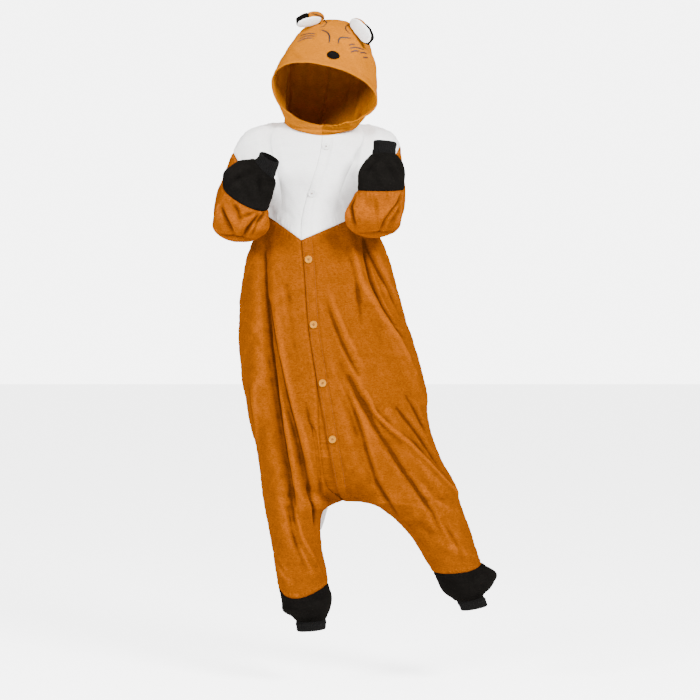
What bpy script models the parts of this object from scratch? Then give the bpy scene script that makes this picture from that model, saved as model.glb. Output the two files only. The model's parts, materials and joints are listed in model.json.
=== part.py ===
"""Fox onesie: a hooded one-piece costume of fleece, in the hollow form it keeps when it is worn.

Metres, +Z up, the front of the garment towards -Y. The origin is at the base of the neck, in the middle
of the shoulders, where the wearer holds the garment up. Left and right are named as seen from the front:
"near" is the -X half and "far" is the +X half.

Every panel is a wall between two copies of one surface, so neighbouring panels share their seam line
and stay a seam's gap apart. A surface is read smoothly between the rows of a short table.
"""

import math

import bmesh
import bpy
import numpy as np
from mathutils import Vector
from mathutils.bvhtree import BVHTree

# Driving dimensions, in metres.
FLEECE = 0.0025  # wall of the body cloth
RIB = 0.0022  # wall of the knitted cuffs
SEAM_GAP = 0.0003  # between two sewn pieces
INNER_EASE = 0.0012  # how much further each piece stops short on its inner face
PLACKET_WIDTH = 0.028  # the band that carries the buttons
BUTTON_RADIUS = 0.0092
BUTTON_HEIGHT = 0.0034
BUTTON_FROM_EDGE = 0.012  # from the placket's free edge to the middle of a button
NOSE_SIZE = (0.0158, 0.0107)  # half width and half height
NOSE_PLACE = (0.0386, 0.159)  # x and z on the face panel
NOSE_WIDE_WAY = (1.0, 0.0, -0.12)
NOSE_WALL = 0.002
EAR_INNER_WALL = 0.002
SEAT_REACH = 0.08  # how far above a panel the pieces laid on it look for it
ROOT_GAP = 0.0008  # between a padded piece's root and the panel it is sewn to

# Grid sizes: columns go round, rows go down.
NECK_COLUMNS = 5  # of each quarter of the neck seam
SHOULDER_COLUMNS_FRONT = 6
SHOULDER_COLUMNS_BACK = 3
UPPER_ROWS = 8  # neck to underarm, half the columns of a sleeve
BODY_ROWS = 14  # underarm to crotch
LEG_ROWS = 6  # crotch to ankle
SLEEVE_COLUMNS = 2 * UPPER_ROWS
SLEEVE_ROWS = 9
LOWER_SLEEVE_ROWS = 3
LEG_END_ROWS = 3
CUFF_ROWS = 2
FACE_ROWS = 6
HOOD_BACK_ROWS = 6
NOSE_GRID = 6

NECK_SHARE = 0.2  # share of a half ring, centre front to centre back, that is neck at each end
SIDE_FRONT, SIDE_BACK = 0.5, 0.5 + 1e-6  # the side seam and armhole, as edge of the front and of the back

# Body rows below the underarm, one table for each half. Centre front, side and centre back are points of
# the row; front and back are its half depths about y = mid; spread is how far centre front and centre
# back stand apart, 1 in the body and 0 down the inseam, and wrap turns the half ring into a whole one.
BODY_COLUMNS = (
    "front_x front_z side_x side_z back_x back_z front back mid spread wrap".split()
)
NEAR_ROWS = (
    # front_x front_z side_x  side_z  back_x  back_z  front  back   mid   spread wrap
    (-0.0375, -0.289, -0.130, -0.220, 0.000, -0.250, 0.142, 0.118, 0.000, 1.00, 0.00),
    (-0.0300, -0.365, -0.177, -0.325, 0.004, -0.350, 0.152, 0.128, 0.000, 1.00, 0.00),
    (-0.0195, -0.500, -0.1975, -0.475, 0.010, -0.490, 0.163, 0.142, 0.000, 1.00, 0.00),
    (-0.0010, -0.630, -0.192, -0.610, 0.020, -0.620, 0.168, 0.156, 0.000, 1.00, 0.00),
    (0.0050, -0.745, -0.168, -0.730, 0.032, -0.740, 0.160, 0.160, 0.000, 1.00, 0.00),
    (0.0110, -0.825, -0.153, -0.800, 0.044, -0.825, 0.146, 0.156, 0.000, 0.98, 0.00),
    (0.0230, -0.890, -0.145, -0.860, 0.054, -0.890, 0.128, 0.142, 0.004, 0.76, 0.12),
    (0.0620, -0.934, -0.1405, -0.905, 0.062, -0.934, 0.112, 0.128, 0.008, 0.00, 0.50),
    (0.0350, -0.944, -0.1335, -0.942, 0.035, -0.944, 0.100, 0.115, 0.008, 0.00, 0.88),
    (0.0110, -0.962, -0.1295, -0.972, 0.011, -0.962, 0.092, 0.105, 0.006, 0.00, 1.00),
    (0.0060, -1.010, -0.1215, -1.018, 0.006, -1.010, 0.083, 0.092, 0.004, 0.00, 1.00),
    (0.0125, -1.065, -0.1110, -1.070, 0.0125, -1.065, 0.074, 0.082, 0.002, 0.00, 1.00),
    (0.0240, -1.136, -0.0990, -1.137, 0.024, -1.136, 0.068, 0.074, 0.000, 0.00, 1.00),
    (0.0330, -1.172, -0.0925, -1.176, 0.033, -1.172, 0.068, 0.073, 0.000, 0.00, 1.00),
    (0.0300, -1.200, -0.0890, -1.205, 0.030, -1.200, 0.062, 0.067, 0.000, 0.00, 1.00),
    (0.0215, -1.220, -0.0600, -1.226, 0.0215, -1.220, 0.036, 0.040, 0.000, 0.00, 1.00),
    (0.0195, -1.238, -0.0550, -1.242, 0.0195, -1.238, 0.033, 0.036, 0.000, 0.00, 1.00),
    (0.0195, -1.252, -0.0535, -1.258, 0.0195, -1.252, 0.032, 0.035, 0.000, 0.00, 1.00),
)
FAR_ROWS = (
    # front_x front_z side_x  side_z  back_x  back_z  front  back   mid   spread wrap
    (-0.0375, -0.289, 0.126, -0.215, 0.000, -0.250, 0.142, 0.118, 0.000, 1.00, 0.00),
    (-0.0300, -0.365, 0.176, -0.325, 0.004, -0.350, 0.152, 0.128, 0.000, 1.00, 0.00),
    (-0.0195, -0.500, 0.2230, -0.490, 0.010, -0.490, 0.163, 0.142, 0.000, 1.00, 0.00),
    (0.0010, -0.630, 0.261, -0.620, 0.020, -0.620, 0.168, 0.156, 0.000, 1.00, 0.00),
    (0.0210, -0.745, 0.277, -0.740, 0.032, -0.740, 0.160, 0.160, 0.000, 1.00, 0.00),
    (0.0350, -0.825, 0.304, -0.820, 0.044, -0.825, 0.146, 0.156, 0.000, 0.98, 0.00),
    (0.0470, -0.890, 0.336, -0.880, 0.054, -0.890, 0.128, 0.142, 0.004, 0.76, 0.12),
    (0.0620, -0.934, 0.350, -0.920, 0.062, -0.934, 0.112, 0.128, 0.008, 0.00, 0.50),
    (0.1120, -0.933, 0.3620, -0.954, 0.112, -0.933, 0.104, 0.118, 0.008, 0.00, 0.88),
    (0.1600, -0.953, 0.3740, -0.988, 0.160, -0.953, 0.096, 0.108, 0.006, 0.00, 1.00),
    (0.2020, -0.986, 0.3850, -1.020, 0.202, -0.986, 0.088, 0.097, 0.004, 0.00, 1.00),
    (0.2400, -1.032, 0.3970, -1.053, 0.240, -1.032, 0.078, 0.084, 0.000, 0.00, 1.00),
    (0.2870, -1.108, 0.4090, -1.083, 0.287, -1.108, 0.070, 0.074, -0.004, 0.00, 1.00),
    (0.2950, -1.128, 0.4470, -1.112, 0.295, -1.128, 0.069, 0.072, -0.006, 0.00, 1.00),
    (0.3110, -1.158, 0.4330, -1.146, 0.311, -1.158, 0.060, 0.064, -0.006, 0.00, 1.00),
    (0.3390, -1.178, 0.4150, -1.163, 0.339, -1.178, 0.036, 0.040, -0.006, 0.00, 1.00),
    (0.3500, -1.191, 0.4175, -1.177, 0.350, -1.191, 0.033, 0.036, -0.006, 0.00, 1.00),
    (0.3580, -1.206, 0.4240, -1.192, 0.358, -1.206, 0.032, 0.035, -0.006, 0.00, 1.00),
)
PLACKET_END = 6.0  # row below which the first column narrows from the placket's width
BAND_END, STRIP_END = 6.75, 6.9  # rows where the placket and the strip behind it end, above the crotch
UNDER_STRIP = (1.0, 0.25, -0.25, -0.7)  # its edges and folds, shares of the far and near first columns
UNDER_STRIP_MIDDLE = 1.5
PLACKET_DROP = 0.035  # how far below the neck seam the placket starts, share of the chest's height
CROTCH_SHARE = 0.2  # share of a half ring over which the crotch draws in
CROTCH = 7  # row where centre front and centre back meet
ANKLE_SEAM = 12  # row where the black lower leg starts
RIB_SEAM = 15.4  # between rows, where the rib cuff starts
LEG_HEM = 17
ANKLE_DIP = (0.040, 0.012)  # how far the ankle seam dips at the front, near leg and far leg
ANKLE_DIP_ROWS = 1.3  # rows over which the dip dies out

# Hood: closed loops from the face opening over the crown to the neck, each through four points.
HOOD_LOOPS = (
    # lowest point             left side               top                     right side
    ((0.013, -0.092, -0.004), (-0.111, -0.085, 0.085), (-0.018, -0.143, 0.140), (0.145, -0.122, 0.058)),
    ((0.013, -0.090, -0.010), (-0.101, -0.030, 0.100), (0.018, -0.092, 0.224), (0.147, -0.068, 0.098)),
    ((0.013, -0.088, -0.015), (-0.083, 0.020, 0.106), (0.034, 0.000, 0.269), (0.135, 0.010, 0.103)),
    ((0.013, -0.087, -0.020), (-0.084, 0.050, 0.078), (0.034, 0.112, 0.214), (0.118, 0.045, 0.074)),
    ((0.012, -0.085, -0.024), (-0.083, 0.030, 0.042), (0.018, 0.124, 0.094), (0.099, 0.028, 0.042)),
    ((0.012, -0.084, -0.029), (-0.085, 0.005, 0.015), (0.000, 0.080, 0.012), (0.090, 0.005, 0.012)),
)
HOOD_SQUARE = 0.06  # how square the crown is, 0 for an ellipse
CROWN_SEAM = 2  # loop where the face panel ends and the ears are sewn in
NECK_SEAM = 5

# Shoulder seam from the side of the neck to the tip of the shoulder: x and z at y = 0.
NEAR_SHOULDER = ((-0.122, 0.012), (-0.160, 0.001), (-0.190, -0.019))
FAR_SHOULDER = ((0.126, 0.009), (0.158, 0.000), (0.186, -0.014))

# How the cloth leaves the neck and shoulder seams on its way down to the underarm.
TOP_SLOPES = (70, 22, 8)  # degrees below level at centre front, at the side of the neck and at the shoulder
NECK_SWING = 40  # degrees by which it swings sideways at the side of the neck
LEVEL_SHARE = 0.42  # share of the half ring from which the shoulder's slope holds
DRAPE_REACH = (1.05, 0.35)  # how full the drape is, and how much fuller below the side of the neck
ARMHOLE_PULL = 0.1  # share of the half ring from which the cloth bends to the armhole

# Sleeves: centre of each ring, the half axis to its outer edge, and its half depth.
NEAR_SLEEVE = (
    # centre x, y, z          outer half axis x, y, z   depth
    (-0.1713, 0.000, -0.140, -0.0413, 0.000, 0.080, 0.075),
    (-0.2060, -0.072, -0.186, -0.0430, 0.000, 0.012, 0.052),
    (-0.2020, -0.108, -0.234, -0.0510, 0.000, 0.010, 0.044),
    (-0.1880, -0.144, -0.256, -0.0650, 0.000, 0.006, 0.038),
    (-0.1770, -0.190, -0.238, -0.0640, 0.000, 0.018, 0.034),
    (-0.1700, -0.198, -0.190, -0.0555, 0.008, 0.030, 0.038),
    (-0.1630, -0.190, -0.157, -0.0590, 0.010, 0.030, 0.046),
    (-0.1440, -0.193, -0.131, -0.0460, 0.005, 0.029, 0.036),
    (-0.1220, -0.200, -0.119, -0.0215, 0.000, 0.0225, 0.024),
    (-0.1110, -0.210, -0.095, -0.0230, 0.000, 0.0125, 0.024),
)
FAR_SLEEVE = (
    (0.1660, 0.000, -0.130, 0.0400, 0.000, 0.085, 0.075),
    (0.1880, -0.078, -0.176, 0.0280, 0.000, 0.008, 0.050),
    (0.1680, -0.124, -0.220, 0.0420, 0.000, 0.006, 0.043),
    (0.1390, -0.165, -0.247, 0.0640, 0.000, 0.000, 0.038),
    (0.1360, -0.212, -0.228, 0.0680, 0.000, 0.000, 0.034),
    (0.1520, -0.219, -0.174, 0.0560, 0.000, 0.000, 0.038),
    (0.1555, -0.207, -0.137, 0.0570, 0.000, 0.000, 0.046),
    (0.1600, -0.203, -0.109, 0.0490, 0.000, 0.000, 0.038),
    (0.1610, -0.200, -0.084, 0.0285, 0.000, -0.001, 0.024),
    (0.1635, -0.199, -0.057, 0.0290, 0.000, -0.003, 0.025),
)
SLEEVE_START = 0.008  # between rings, just clear of the armhole
WRIST_SEAM = 5  # ring where the black lower sleeve starts
WRIST_DIP = (0.022, 0.003)  # how far that seam dips on one side, near sleeve and far sleeve
WRIST_RIB = 7.9
WRIST_HEM = 9

# Largest folds: a path down the front or the back in x and z, its half width and its height outwards.
FOLDS_START = (-0.35, 0.1)  # between which rows they come in below the chest
FOLDS_END = (12.6, 11.4)  # between which rows they die out above the ankle seam
FOLDS_OFF_MIDDLE = (0.045, 0.12)  # shares of the half ring between which they come in off the centre line
FRONT_TO_BACK = (0.53, 0.47)  # shares between which the back's folds give way to the front's
FRONT_FOLDS = (
    (((-0.132, -0.28), (-0.131, -0.36), (-0.122, -0.55), (-0.100, -0.78), (-0.060, -0.97)), 0.017, -0.016),
    (((-0.116, -0.45), (-0.090, -0.62), (-0.055, -0.78), (-0.020, -0.92)), 0.013, -0.010),
    (((-0.103, -0.30), (-0.098, -0.45), (-0.080, -0.62), (-0.040, -0.80)), 0.018, 0.008),
    (((-0.153, -0.62), (-0.146, -0.76)), 0.016, 0.010),
    (((0.123, -0.29), (0.155, -0.40), (0.198, -0.49)), 0.018, -0.022),
    (((0.070, -0.26), (0.098, -0.38), (0.138, -0.45), (0.190, -0.54), (0.262, -0.68)), 0.020, 0.013),
    (((0.002, -0.38), (0.020, -0.51), (0.060, -0.60), (0.100, -0.67), (0.160, -0.73)), 0.016, -0.010),
    (((0.045, -0.60), (0.080, -0.71), (0.105, -0.81), (0.130, -0.87)), 0.016, -0.010),
    (((0.175, -0.71), (0.225, -0.80), (0.280, -0.87), (0.330, -0.91)), 0.018, 0.012),
)
LEG_FOLDS = (
    (((-0.112, -0.63), (-0.083, -0.83), (-0.058, -0.96), (-0.046, -1.03)), 0.013, -0.009),
    (((-0.070, -0.71), (-0.038, -0.82), (-0.015, -0.90)), 0.012, -0.009),
    (((-0.038, -1.05), (-0.004, -1.12)), 0.012, 0.008),
    (((-0.095, -1.08), (-0.070, -1.13)), 0.012, 0.008),
    (((0.200, -0.99), (0.250, -0.99), (0.310, -1.03)), 0.014, -0.009),
    (((0.290, -1.02), (0.390, -1.07)), 0.014, 0.009),
)
BACK_FOLDS = (
    (((-0.090, -0.26), (-0.105, -0.45), (-0.070, -0.70), (-0.020, -0.86)), 0.020, -0.012),
    (((0.110, -0.26), (0.130, -0.45), (0.180, -0.66), (0.250, -0.84)), 0.022, -0.013),
    (((-0.030, -0.30), (-0.025, -0.50), (0.005, -0.66)), 0.020, 0.009),
    (((0.055, -0.32), (0.075, -0.52), (0.110, -0.70), (0.180, -0.86)), 0.020, 0.010),
    (((-0.120, -0.70), (-0.090, -0.90), (-0.060, -1.04)), 0.016, -0.010),
    (((0.150, -0.86), (0.260, -0.97), (0.340, -1.03)), 0.018, -0.010),
)

# Padded pieces: centre of each ring, its half width and its half thickness. The first ring is the root.
TAIL = (
    # x      y      z      wide   deep
    (0.018, 0.166, -0.655, 0.026, 0.024),
    (0.018, 0.200, -0.672, 0.033, 0.030),
    (0.010, 0.238, -0.740, 0.052, 0.046),
    (-0.002, 0.252, -0.820, 0.062, 0.054),
    (-0.010, 0.246, -0.895, 0.054, 0.048),
    (-0.010, 0.230, -0.960, 0.036, 0.033),
    (-0.003, 0.216, -1.005, 0.016, 0.015),
    (0.001, 0.212, -1.026, 0.004, 0.004),
)
TAIL_WIDE_WAY = (1.0, 0.0, 0.0)
TAIL_TIP = 4.3  # between rings, where the white tip starts
NEAR_EAR = (
    (0.010, -0.045, 0.2520, 0.0110, 0.0050),
    (0.008, -0.050, 0.2640, 0.0115, 0.0055),
    (-0.005, -0.062, 0.2640, 0.0180, 0.0070),
    (-0.024, -0.071, 0.2590, 0.0215, 0.0075),
    (-0.041, -0.075, 0.2540, 0.0170, 0.0060),
    (-0.052, -0.077, 0.2510, 0.0115, 0.0040),
)
NEAR_EAR_WIDE_WAY = (-0.1, -0.78, 0.62)
FAR_EAR = (
    (0.0800, -0.042, 0.2400, 0.0110, 0.0050),
    (0.0850, -0.052, 0.2520, 0.0115, 0.0055),
    (0.0960, -0.074, 0.2440, 0.0170, 0.0070),
    (0.1100, -0.094, 0.2270, 0.0225, 0.0075),
    (0.1230, -0.104, 0.2100, 0.0205, 0.0060),
    (0.1320, -0.109, 0.1970, 0.0130, 0.0040),
)
FAR_EAR_WIDE_WAY = (-0.37, 0.51, -0.78)
EAR_TIP = 3.0  # ring where the black tip starts
EAR_INNER = {"near": (2, 6), "far": (1, 5)}  # columns of the ear that the white inner covers
PADDED_COLUMNS = 12
TAIL_ROW, EAR_ROW = 0.08, 0.016  # about how long a row of the tail's and of an ear's table is

# Buttons: height of each centre on the placket.
BUTTON_HEIGHTS = (-0.060, -0.180, -0.340, -0.495, -0.635, -0.770)
WHITE_BUTTONS = 2  # the ones on the white chest
BUTTON_PROFILE = (
    # share of the radius, share of the height
    (0.90, 0.00),
    (1.00, 0.30),
    (0.97, 0.80),
    (0.84, 1.00),
    (0.66, 0.96),
    (0.52, 0.68),
)
BUTTON_COLUMNS = 12

COLOURS = {
    # name: red, green, blue, roughness
    "orange fleece": (0.70, 0.27, 0.035, 0.95),
    "white fleece": (0.86, 0.86, 0.86, 0.95),
    "black fleece": (0.012, 0.011, 0.010, 0.95),
    "black rib": (0.010, 0.010, 0.010, 0.85),
    "yellow button": (0.80, 0.46, 0.08, 0.35),
    "white button": (0.80, 0.80, 0.78, 0.35),
}


def material(name):
    """The named finish as a Principled material, made once."""
    if name in bpy.data.materials:
        return bpy.data.materials[name]
    made = bpy.data.materials.new(name)
    made.use_nodes = True
    shader = made.node_tree.nodes["Principled BSDF"]
    red, green, blue, rough = COLOURS[name]
    shader.inputs["Base Color"].default_value = (red, green, blue, 1.0)
    shader.inputs["Roughness"].default_value = rough
    shader.inputs["Metallic"].default_value = 0.0
    return made


def smooth(start, end, value):
    """0 before start, 1 after end, and an even S between them."""
    share = np.clip((value - start) / (end - start), 0.0, 1.0)
    return share * share * (3.0 - 2.0 * share)


def read(rows, at):
    """The rows of a table as a smooth curve through them; at runs from 0 to the last row's number.

    rows is one table for every at, or has a table for each at after its first axis.
    """
    rows, at = np.asarray(rows, float), np.asarray(at, float)
    ends = np.concatenate((2 * rows[:1] - rows[1:2], rows, 2 * rows[-1:] - rows[-2:-1]))
    at = np.clip(at, 0.0, len(rows) - 1.0)
    row = np.minimum(at.astype(int), len(rows) - 2)
    share = (at - row)[..., None]

    def pick(step):
        if rows.ndim == 2:
            return ends[row + step]
        return np.take_along_axis(ends, (row + step)[None, ..., None], axis=0)[0]

    before, first, second, after = (pick(step) for step in range(4))
    slope_in, slope_out = (second - before) / 2, (after - first) / 2
    return (
        first
        + share * slope_in
        + share**2 * (3 * (second - first) - 2 * slope_in - slope_out)
        + share**3 * (2 * (first - second) + slope_in + slope_out)
    )


def unit(vectors):
    return vectors / np.maximum(np.linalg.norm(vectors, axis=-1, keepdims=True), 1e-12)


def loop_through(low, left, top, right, turn, square):
    """A smooth closed loop through four points, turn 0 at low, 0.25 at left, 0.5 at top."""
    angle = 2 * math.pi * np.asarray(turn, float)[..., None]
    centre = (low + left + top + right) / 4
    tall, wide = (low - top) / 2, (left - right) / 2
    skew = (low + top - left - right) / 4
    up = (np.cos(angle) - square * np.cos(3 * angle)) / (1.0 - square)
    aside = (np.sin(angle) + square * np.sin(3 * angle)) / (1.0 - square)
    return centre + tall * up + wide * aside + skew * np.cos(2 * angle)


def hood(turn, at):
    """Point of the hood: turn goes round the face opening, at goes from its rim to the neck seam."""
    points = read(np.asarray(HOOD_LOOPS, float).reshape(len(HOOD_LOOPS), 12), at)
    square = HOOD_SQUARE * np.sin(np.pi * np.asarray(at, float) / NECK_SEAM)[..., None]
    return loop_through(*(points[..., 3 * i : 3 * i + 3] for i in range(4)), turn, square)


def fold_height(folds, x, z):
    """Height of the folds at a place on the front or the back, seen square on."""
    height = np.zeros_like(x)
    for path, half_width, high in folds:
        path = np.asarray(path)
        steps = np.linalg.norm(np.diff(path, axis=0), axis=1)
        lengths = np.concatenate(((0.0,), np.cumsum(steps)))
        nearest, along = np.full_like(x, 9.0), np.zeros_like(x)
        for start, end, before, step in zip(path[:-1], path[1:], lengths, steps):
            way = (end - start) / step
            reach = np.clip((x - start[0]) * way[0] + (z - start[1]) * way[1], 0.0, step)
            off = np.hypot(x - start[0] - reach * way[0], z - start[1] - reach * way[1])
            closer = off < nearest
            nearest = np.where(closer, off, nearest)
            along = np.where(closer, before + reach, along)
        share = along / lengths[-1]
        height += high * np.exp(-((nearest / half_width) ** 2)) * np.sin(np.pi * (0.12 + 0.76 * share))
    return height


def lower_body(side, share, at):
    """Point of a half of the body and its leg: share runs from centre front round to centre back."""
    table = np.asarray(NEAR_ROWS if side == "near" else FAR_ROWS)
    whole, above, below = read(table, at), read(table[: CROTCH + 1], at), read(table[CROTCH:], at - CROTCH)
    parted = np.where((np.asarray(at) <= CROTCH)[..., None], above, below)  # the halves part at the crotch
    value = {
        name: (whole if name.startswith("side") else parted)[..., i] for i, name in enumerate(BODY_COLUMNS)
    }
    start = (1.0 - np.clip(value["wrap"], 0.0, 1.0)) * math.pi / 2
    angle = start + (2 * math.pi - 2 * start) * share
    out = (np.cos(start) - np.cos(angle)) / (1.0 + np.cos(start))
    at_front = share <= 0.5
    nearest = np.minimum(share, 1.0 - share)
    inner_x = np.where(at_front, value["front_x"], value["back_x"])
    inner_z = np.where(at_front, value["front_z"], value["back_z"])
    deep = np.where(at_front, value["front"], value["back"])
    x = inner_x + (value["side_x"] - inner_x) * out
    drawn_in = (np.sin(start) - np.clip(value["spread"], 0.0, 1.0)) * smooth(CROTCH_SHARE, 0.0, nearest)
    y = value["mid"] - np.where(at_front, 1.0, -1.0) * deep * (np.abs(np.sin(angle)) - drawn_in)
    z = inner_z + (value["side_z"] - inner_z) * out
    dip = ANKLE_DIP[0] if side == "near" else ANKLE_DIP[1]
    near_seam = np.exp(-(((at - ANKLE_SEAM) / ANKLE_DIP_ROWS) ** 2))
    z = z - dip * near_seam * np.sin(np.pi * share) * np.abs(np.sin(angle))
    return np.stack((x, y, z), axis=-1)


def shoulder(side, share):
    """Point of the shoulder seam, from the side of the neck to the armhole's top."""
    turn = 0.25 if side == "near" else 0.75
    middle = [(x, 0.0, z) for x, z in (NEAR_SHOULDER if side == "near" else FAR_SHOULDER)]
    ends = hood(np.array(turn), np.array(float(NECK_SEAM))), armhole(side, np.array(0.0))
    return read(np.vstack((ends[0], middle, ends[1])), share * (len(middle) + 1))


def armhole(side, turn):
    """Point of the armhole, turn 0 at its top, positive down the back and negative down the front."""
    centre, outer, _ = split_ring((NEAR_SLEEVE if side == "near" else FAR_SLEEVE)[0])
    depth = (NEAR_SLEEVE if side == "near" else FAR_SLEEVE)[0][6]
    angle = 2 * math.pi * np.asarray(turn, float)[..., None]
    return centre + outer * np.cos(angle) + np.array((0.0, depth, 0.0)) * np.sin(angle)


def split_ring(ring):
    ring = np.asarray(ring, float)
    return ring[..., 0:3], ring[..., 3:6], ring[..., 6:7]


def below_neck_corner(near):
    """1 below the side of the neck and 0 at the centre line and on the shoulder."""
    return smooth(0.0, NECK_SHARE, near) * smooth(LEVEL_SHARE, NECK_SHARE, near)


def top_edge(side, share, at_front):
    """The neck seam and the shoulder seam of a half, and the way the cloth leaves them."""
    near = np.where(at_front, share, 1.0 - share)
    quarter = 0.25 * np.minimum(near / NECK_SHARE, 1.0)
    turn = np.where(at_front, quarter, 0.5 - quarter)
    turn = turn if side == "near" else 1.0 - turn
    neck = hood(turn, np.full_like(turn, float(NECK_SEAM)))
    seam = shoulder(side, np.clip((near - NECK_SHARE) / (0.5 - NECK_SHARE), 0.0, 1.0))
    points = np.where((near < NECK_SHARE)[..., None], neck, seam)
    steep, middling, flat = (math.radians(angle) for angle in TOP_SLOPES)
    slope = steep - (steep - middling) * smooth(0.0, NECK_SHARE, near)
    slope = slope - (middling - flat) * smooth(NECK_SHARE, LEVEL_SHARE, near)
    outward = -1.0 if side == "near" else 1.0
    swing = math.radians(NECK_SWING) * below_neck_corner(near)
    across = outward * np.cos(slope) * np.sin(swing)
    forward = np.where(at_front, -1.0, 1.0) * np.cos(slope) * np.cos(swing)
    return points, np.stack((across, forward, -np.sin(slope)), axis=-1)


def drape(side, share, down, at_front):
    """Cloth hanging smoothly from the neck and shoulder seams to the underarm row."""
    top, top_way = top_edge(side, share, at_front)
    low = lower_body(side, share, np.zeros_like(share))
    low_way = unit(lower_body(side, share, np.full_like(share, 0.02)) - low)
    fuller = below_neck_corner(np.where(at_front, share, 1.0 - share))[..., None]
    full, more = DRAPE_REACH
    reach = np.linalg.norm(low - top, axis=-1, keepdims=True) * (full + more * fuller)
    t = down[..., None]
    return (
        (2 * t**3 - 3 * t**2 + 1) * top
        + (t**3 - 2 * t**2 + t) * reach * top_way
        + (3 * t**2 - 2 * t**3) * low
        + (t**3 - t**2) * reach * low_way
    )


def upper_body(side, share, down):
    """Point of the body above the underarm: down is 0 at the neck and shoulder, 1 at the underarm row."""
    at_front = share <= SIDE_FRONT
    edge = armhole(side, np.where(at_front, -0.5, 0.5) * down)
    off_edge = edge - drape(side, np.full_like(share, 0.5), down, at_front)
    pull = smooth(ARMHOLE_PULL, 0.5, np.where(at_front, share, 1.0 - share))[..., None]
    return drape(side, share, down, at_front) + pull * off_edge


def body_form(side, share, at):
    """Point of the body without folds; at runs from -1 at the neck through 0 at the underarm to the hem."""
    share, at = np.broadcast_arrays(np.asarray(share, float), np.asarray(at, float))
    upper = upper_body(side, share, np.clip(at + 1.0, 0.0, 1.0))
    lower = lower_body(side, share, np.maximum(at, 0.0))
    return np.where((at < 0.0)[..., None], upper, lower)


def frame_at(surface, u, v, limits):
    """How a surface runs along u and along v and its normal, by small steps that stay within its limits."""
    step = 0.002
    u_low, u_high, v_low, v_high = limits(u, v)
    along = surface(np.minimum(u + step, u_high), v) - surface(np.maximum(u - step, u_low), v)
    down = surface(u, np.minimum(v + step, v_high)) - surface(u, np.maximum(v - step, v_low))
    return unit(along), unit(down), unit(np.cross(along, down))


def body_limits(share, at):
    """A step across the side seam is fine below the underarm, and not across the armhole above it."""
    upper, at_back = at < 0.0, share > SIDE_FRONT
    return (
        np.where(upper & at_back, SIDE_BACK, 0.0),
        np.where(upper & ~at_back, SIDE_FRONT, 1.0),
        np.where(upper, -1.0, 0.0),
        np.where(upper, 0.0, float(LEG_HEM)),
    )


def body_frame(side, surface, share, at):
    """frame_at for the body, with one normal at each seam for the pieces that meet there."""
    handed = 1.0 if side == "near" else -1.0
    along, down, _ = frame_at(surface, share, at, body_limits)
    step = np.full_like(share, 0.004)
    round_leg = unit(surface(step, at) - surface(1.0 - step, at))
    across = np.zeros_like(along)
    across[..., 0] = np.where(share < 0.5, -handed, handed)
    leg = smooth(CROTCH - 0.5, CROTCH + 0.5, at)[..., None]
    on_middle = (np.minimum(share, 1.0 - share) < 1e-5)[..., None]
    along = np.where(on_middle, unit(across * (1.0 - leg) + round_leg * leg), along)
    normal = handed * np.cross(along, down)
    on_shoulder = (at < -1.0 + 1e-5) & (np.minimum(share, 1.0 - share) > NECK_SHARE - 1e-5)
    normal[..., 1] = np.where(on_shoulder, 0.0, normal[..., 1])
    at_crotch = on_middle[..., 0] & (np.abs(at - CROTCH) < 1e-5)
    normal = np.where(at_crotch[..., None], np.array((0.0, 0.0, -1.0)), normal)
    return along, down, unit(normal)


def body(side, share, at):
    """Point of the body with its folds."""
    share, at = np.broadcast_arrays(np.asarray(share, float), np.asarray(at, float))
    share = np.clip(share, 0.0, 1.0)
    form = body_form(side, share, at)
    x, z = form[..., 0], form[..., 2]
    at_front = smooth(*FRONT_TO_BACK, share)
    below, above_hem = smooth(*FOLDS_START, at), smooth(*FOLDS_END, at)
    off_edge = smooth(*FOLDS_OFF_MIDDLE, np.minimum(share, 1.0 - share))
    front = fold_height(FRONT_FOLDS + LEG_FOLDS, x, z)
    back = fold_height(BACK_FOLDS, x, z)
    height = (front * at_front + back * (1.0 - at_front)) * below * above_hem * off_edge
    _, _, normal = body_frame(side, lambda u, v: body_form(side, u, v), share, at)
    return form + height[..., None] * normal


def sleeve_ring(table, ring, turn):
    """Point of one ring of a sleeve: turn 0 on its outer edge, 0.75 at the front of the armhole."""
    rows = np.asarray(table, float)
    centre, outer, depth = rows[ring, 0:3], rows[ring, 3:6], rows[ring, 6]
    travel = rows[min(ring + 1, len(rows) - 1), 0:3] - rows[max(ring - 1, 0), 0:3]
    deep = unit(np.cross(travel, outer)) * np.sign(-rows[0, 0]) if ring else np.array((0.0, 1.0, 0.0))
    angle = 2 * math.pi * turn[..., None]
    return centre + outer * np.cos(angle) + deep * depth * np.sin(angle)


def sleeve(side, turn, at):
    """Point of a sleeve: at runs from the armhole to the wrist."""
    table = NEAR_SLEEVE if side == "near" else FAR_SLEEVE
    turn, at = np.broadcast_arrays(np.asarray(turn, float), np.asarray(at, float))
    rings = np.stack([sleeve_ring(table, ring, turn) for ring in range(len(table))])
    points = read(rings, at)
    dip, facing = (WRIST_DIP[0], 1.0) if side == "near" else (WRIST_DIP[1], -1.0)
    dipping = np.clip(facing * np.sin(2 * math.pi * turn), 0.0, 1.0)
    points[..., 2] -= dip * np.exp(-((at - WRIST_SEAM) ** 2)) * dipping
    return points


def place(mesh, name, finish):
    """An object of the onesie from a bmesh, with its material."""
    data = bpy.data.meshes.new(name)
    bmesh.ops.recalc_face_normals(mesh, faces=mesh.faces[:])
    if mesh.calc_volume(signed=True) < 0.0:
        bmesh.ops.reverse_faces(mesh, faces=mesh.faces[:])
    mesh.to_mesh(data)
    mesh.free()
    data.materials.append(material(finish))
    made = bpy.data.objects.new(name, data)
    bpy.data.collections["fox_onesie"].objects.link(made)
    return made


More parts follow.
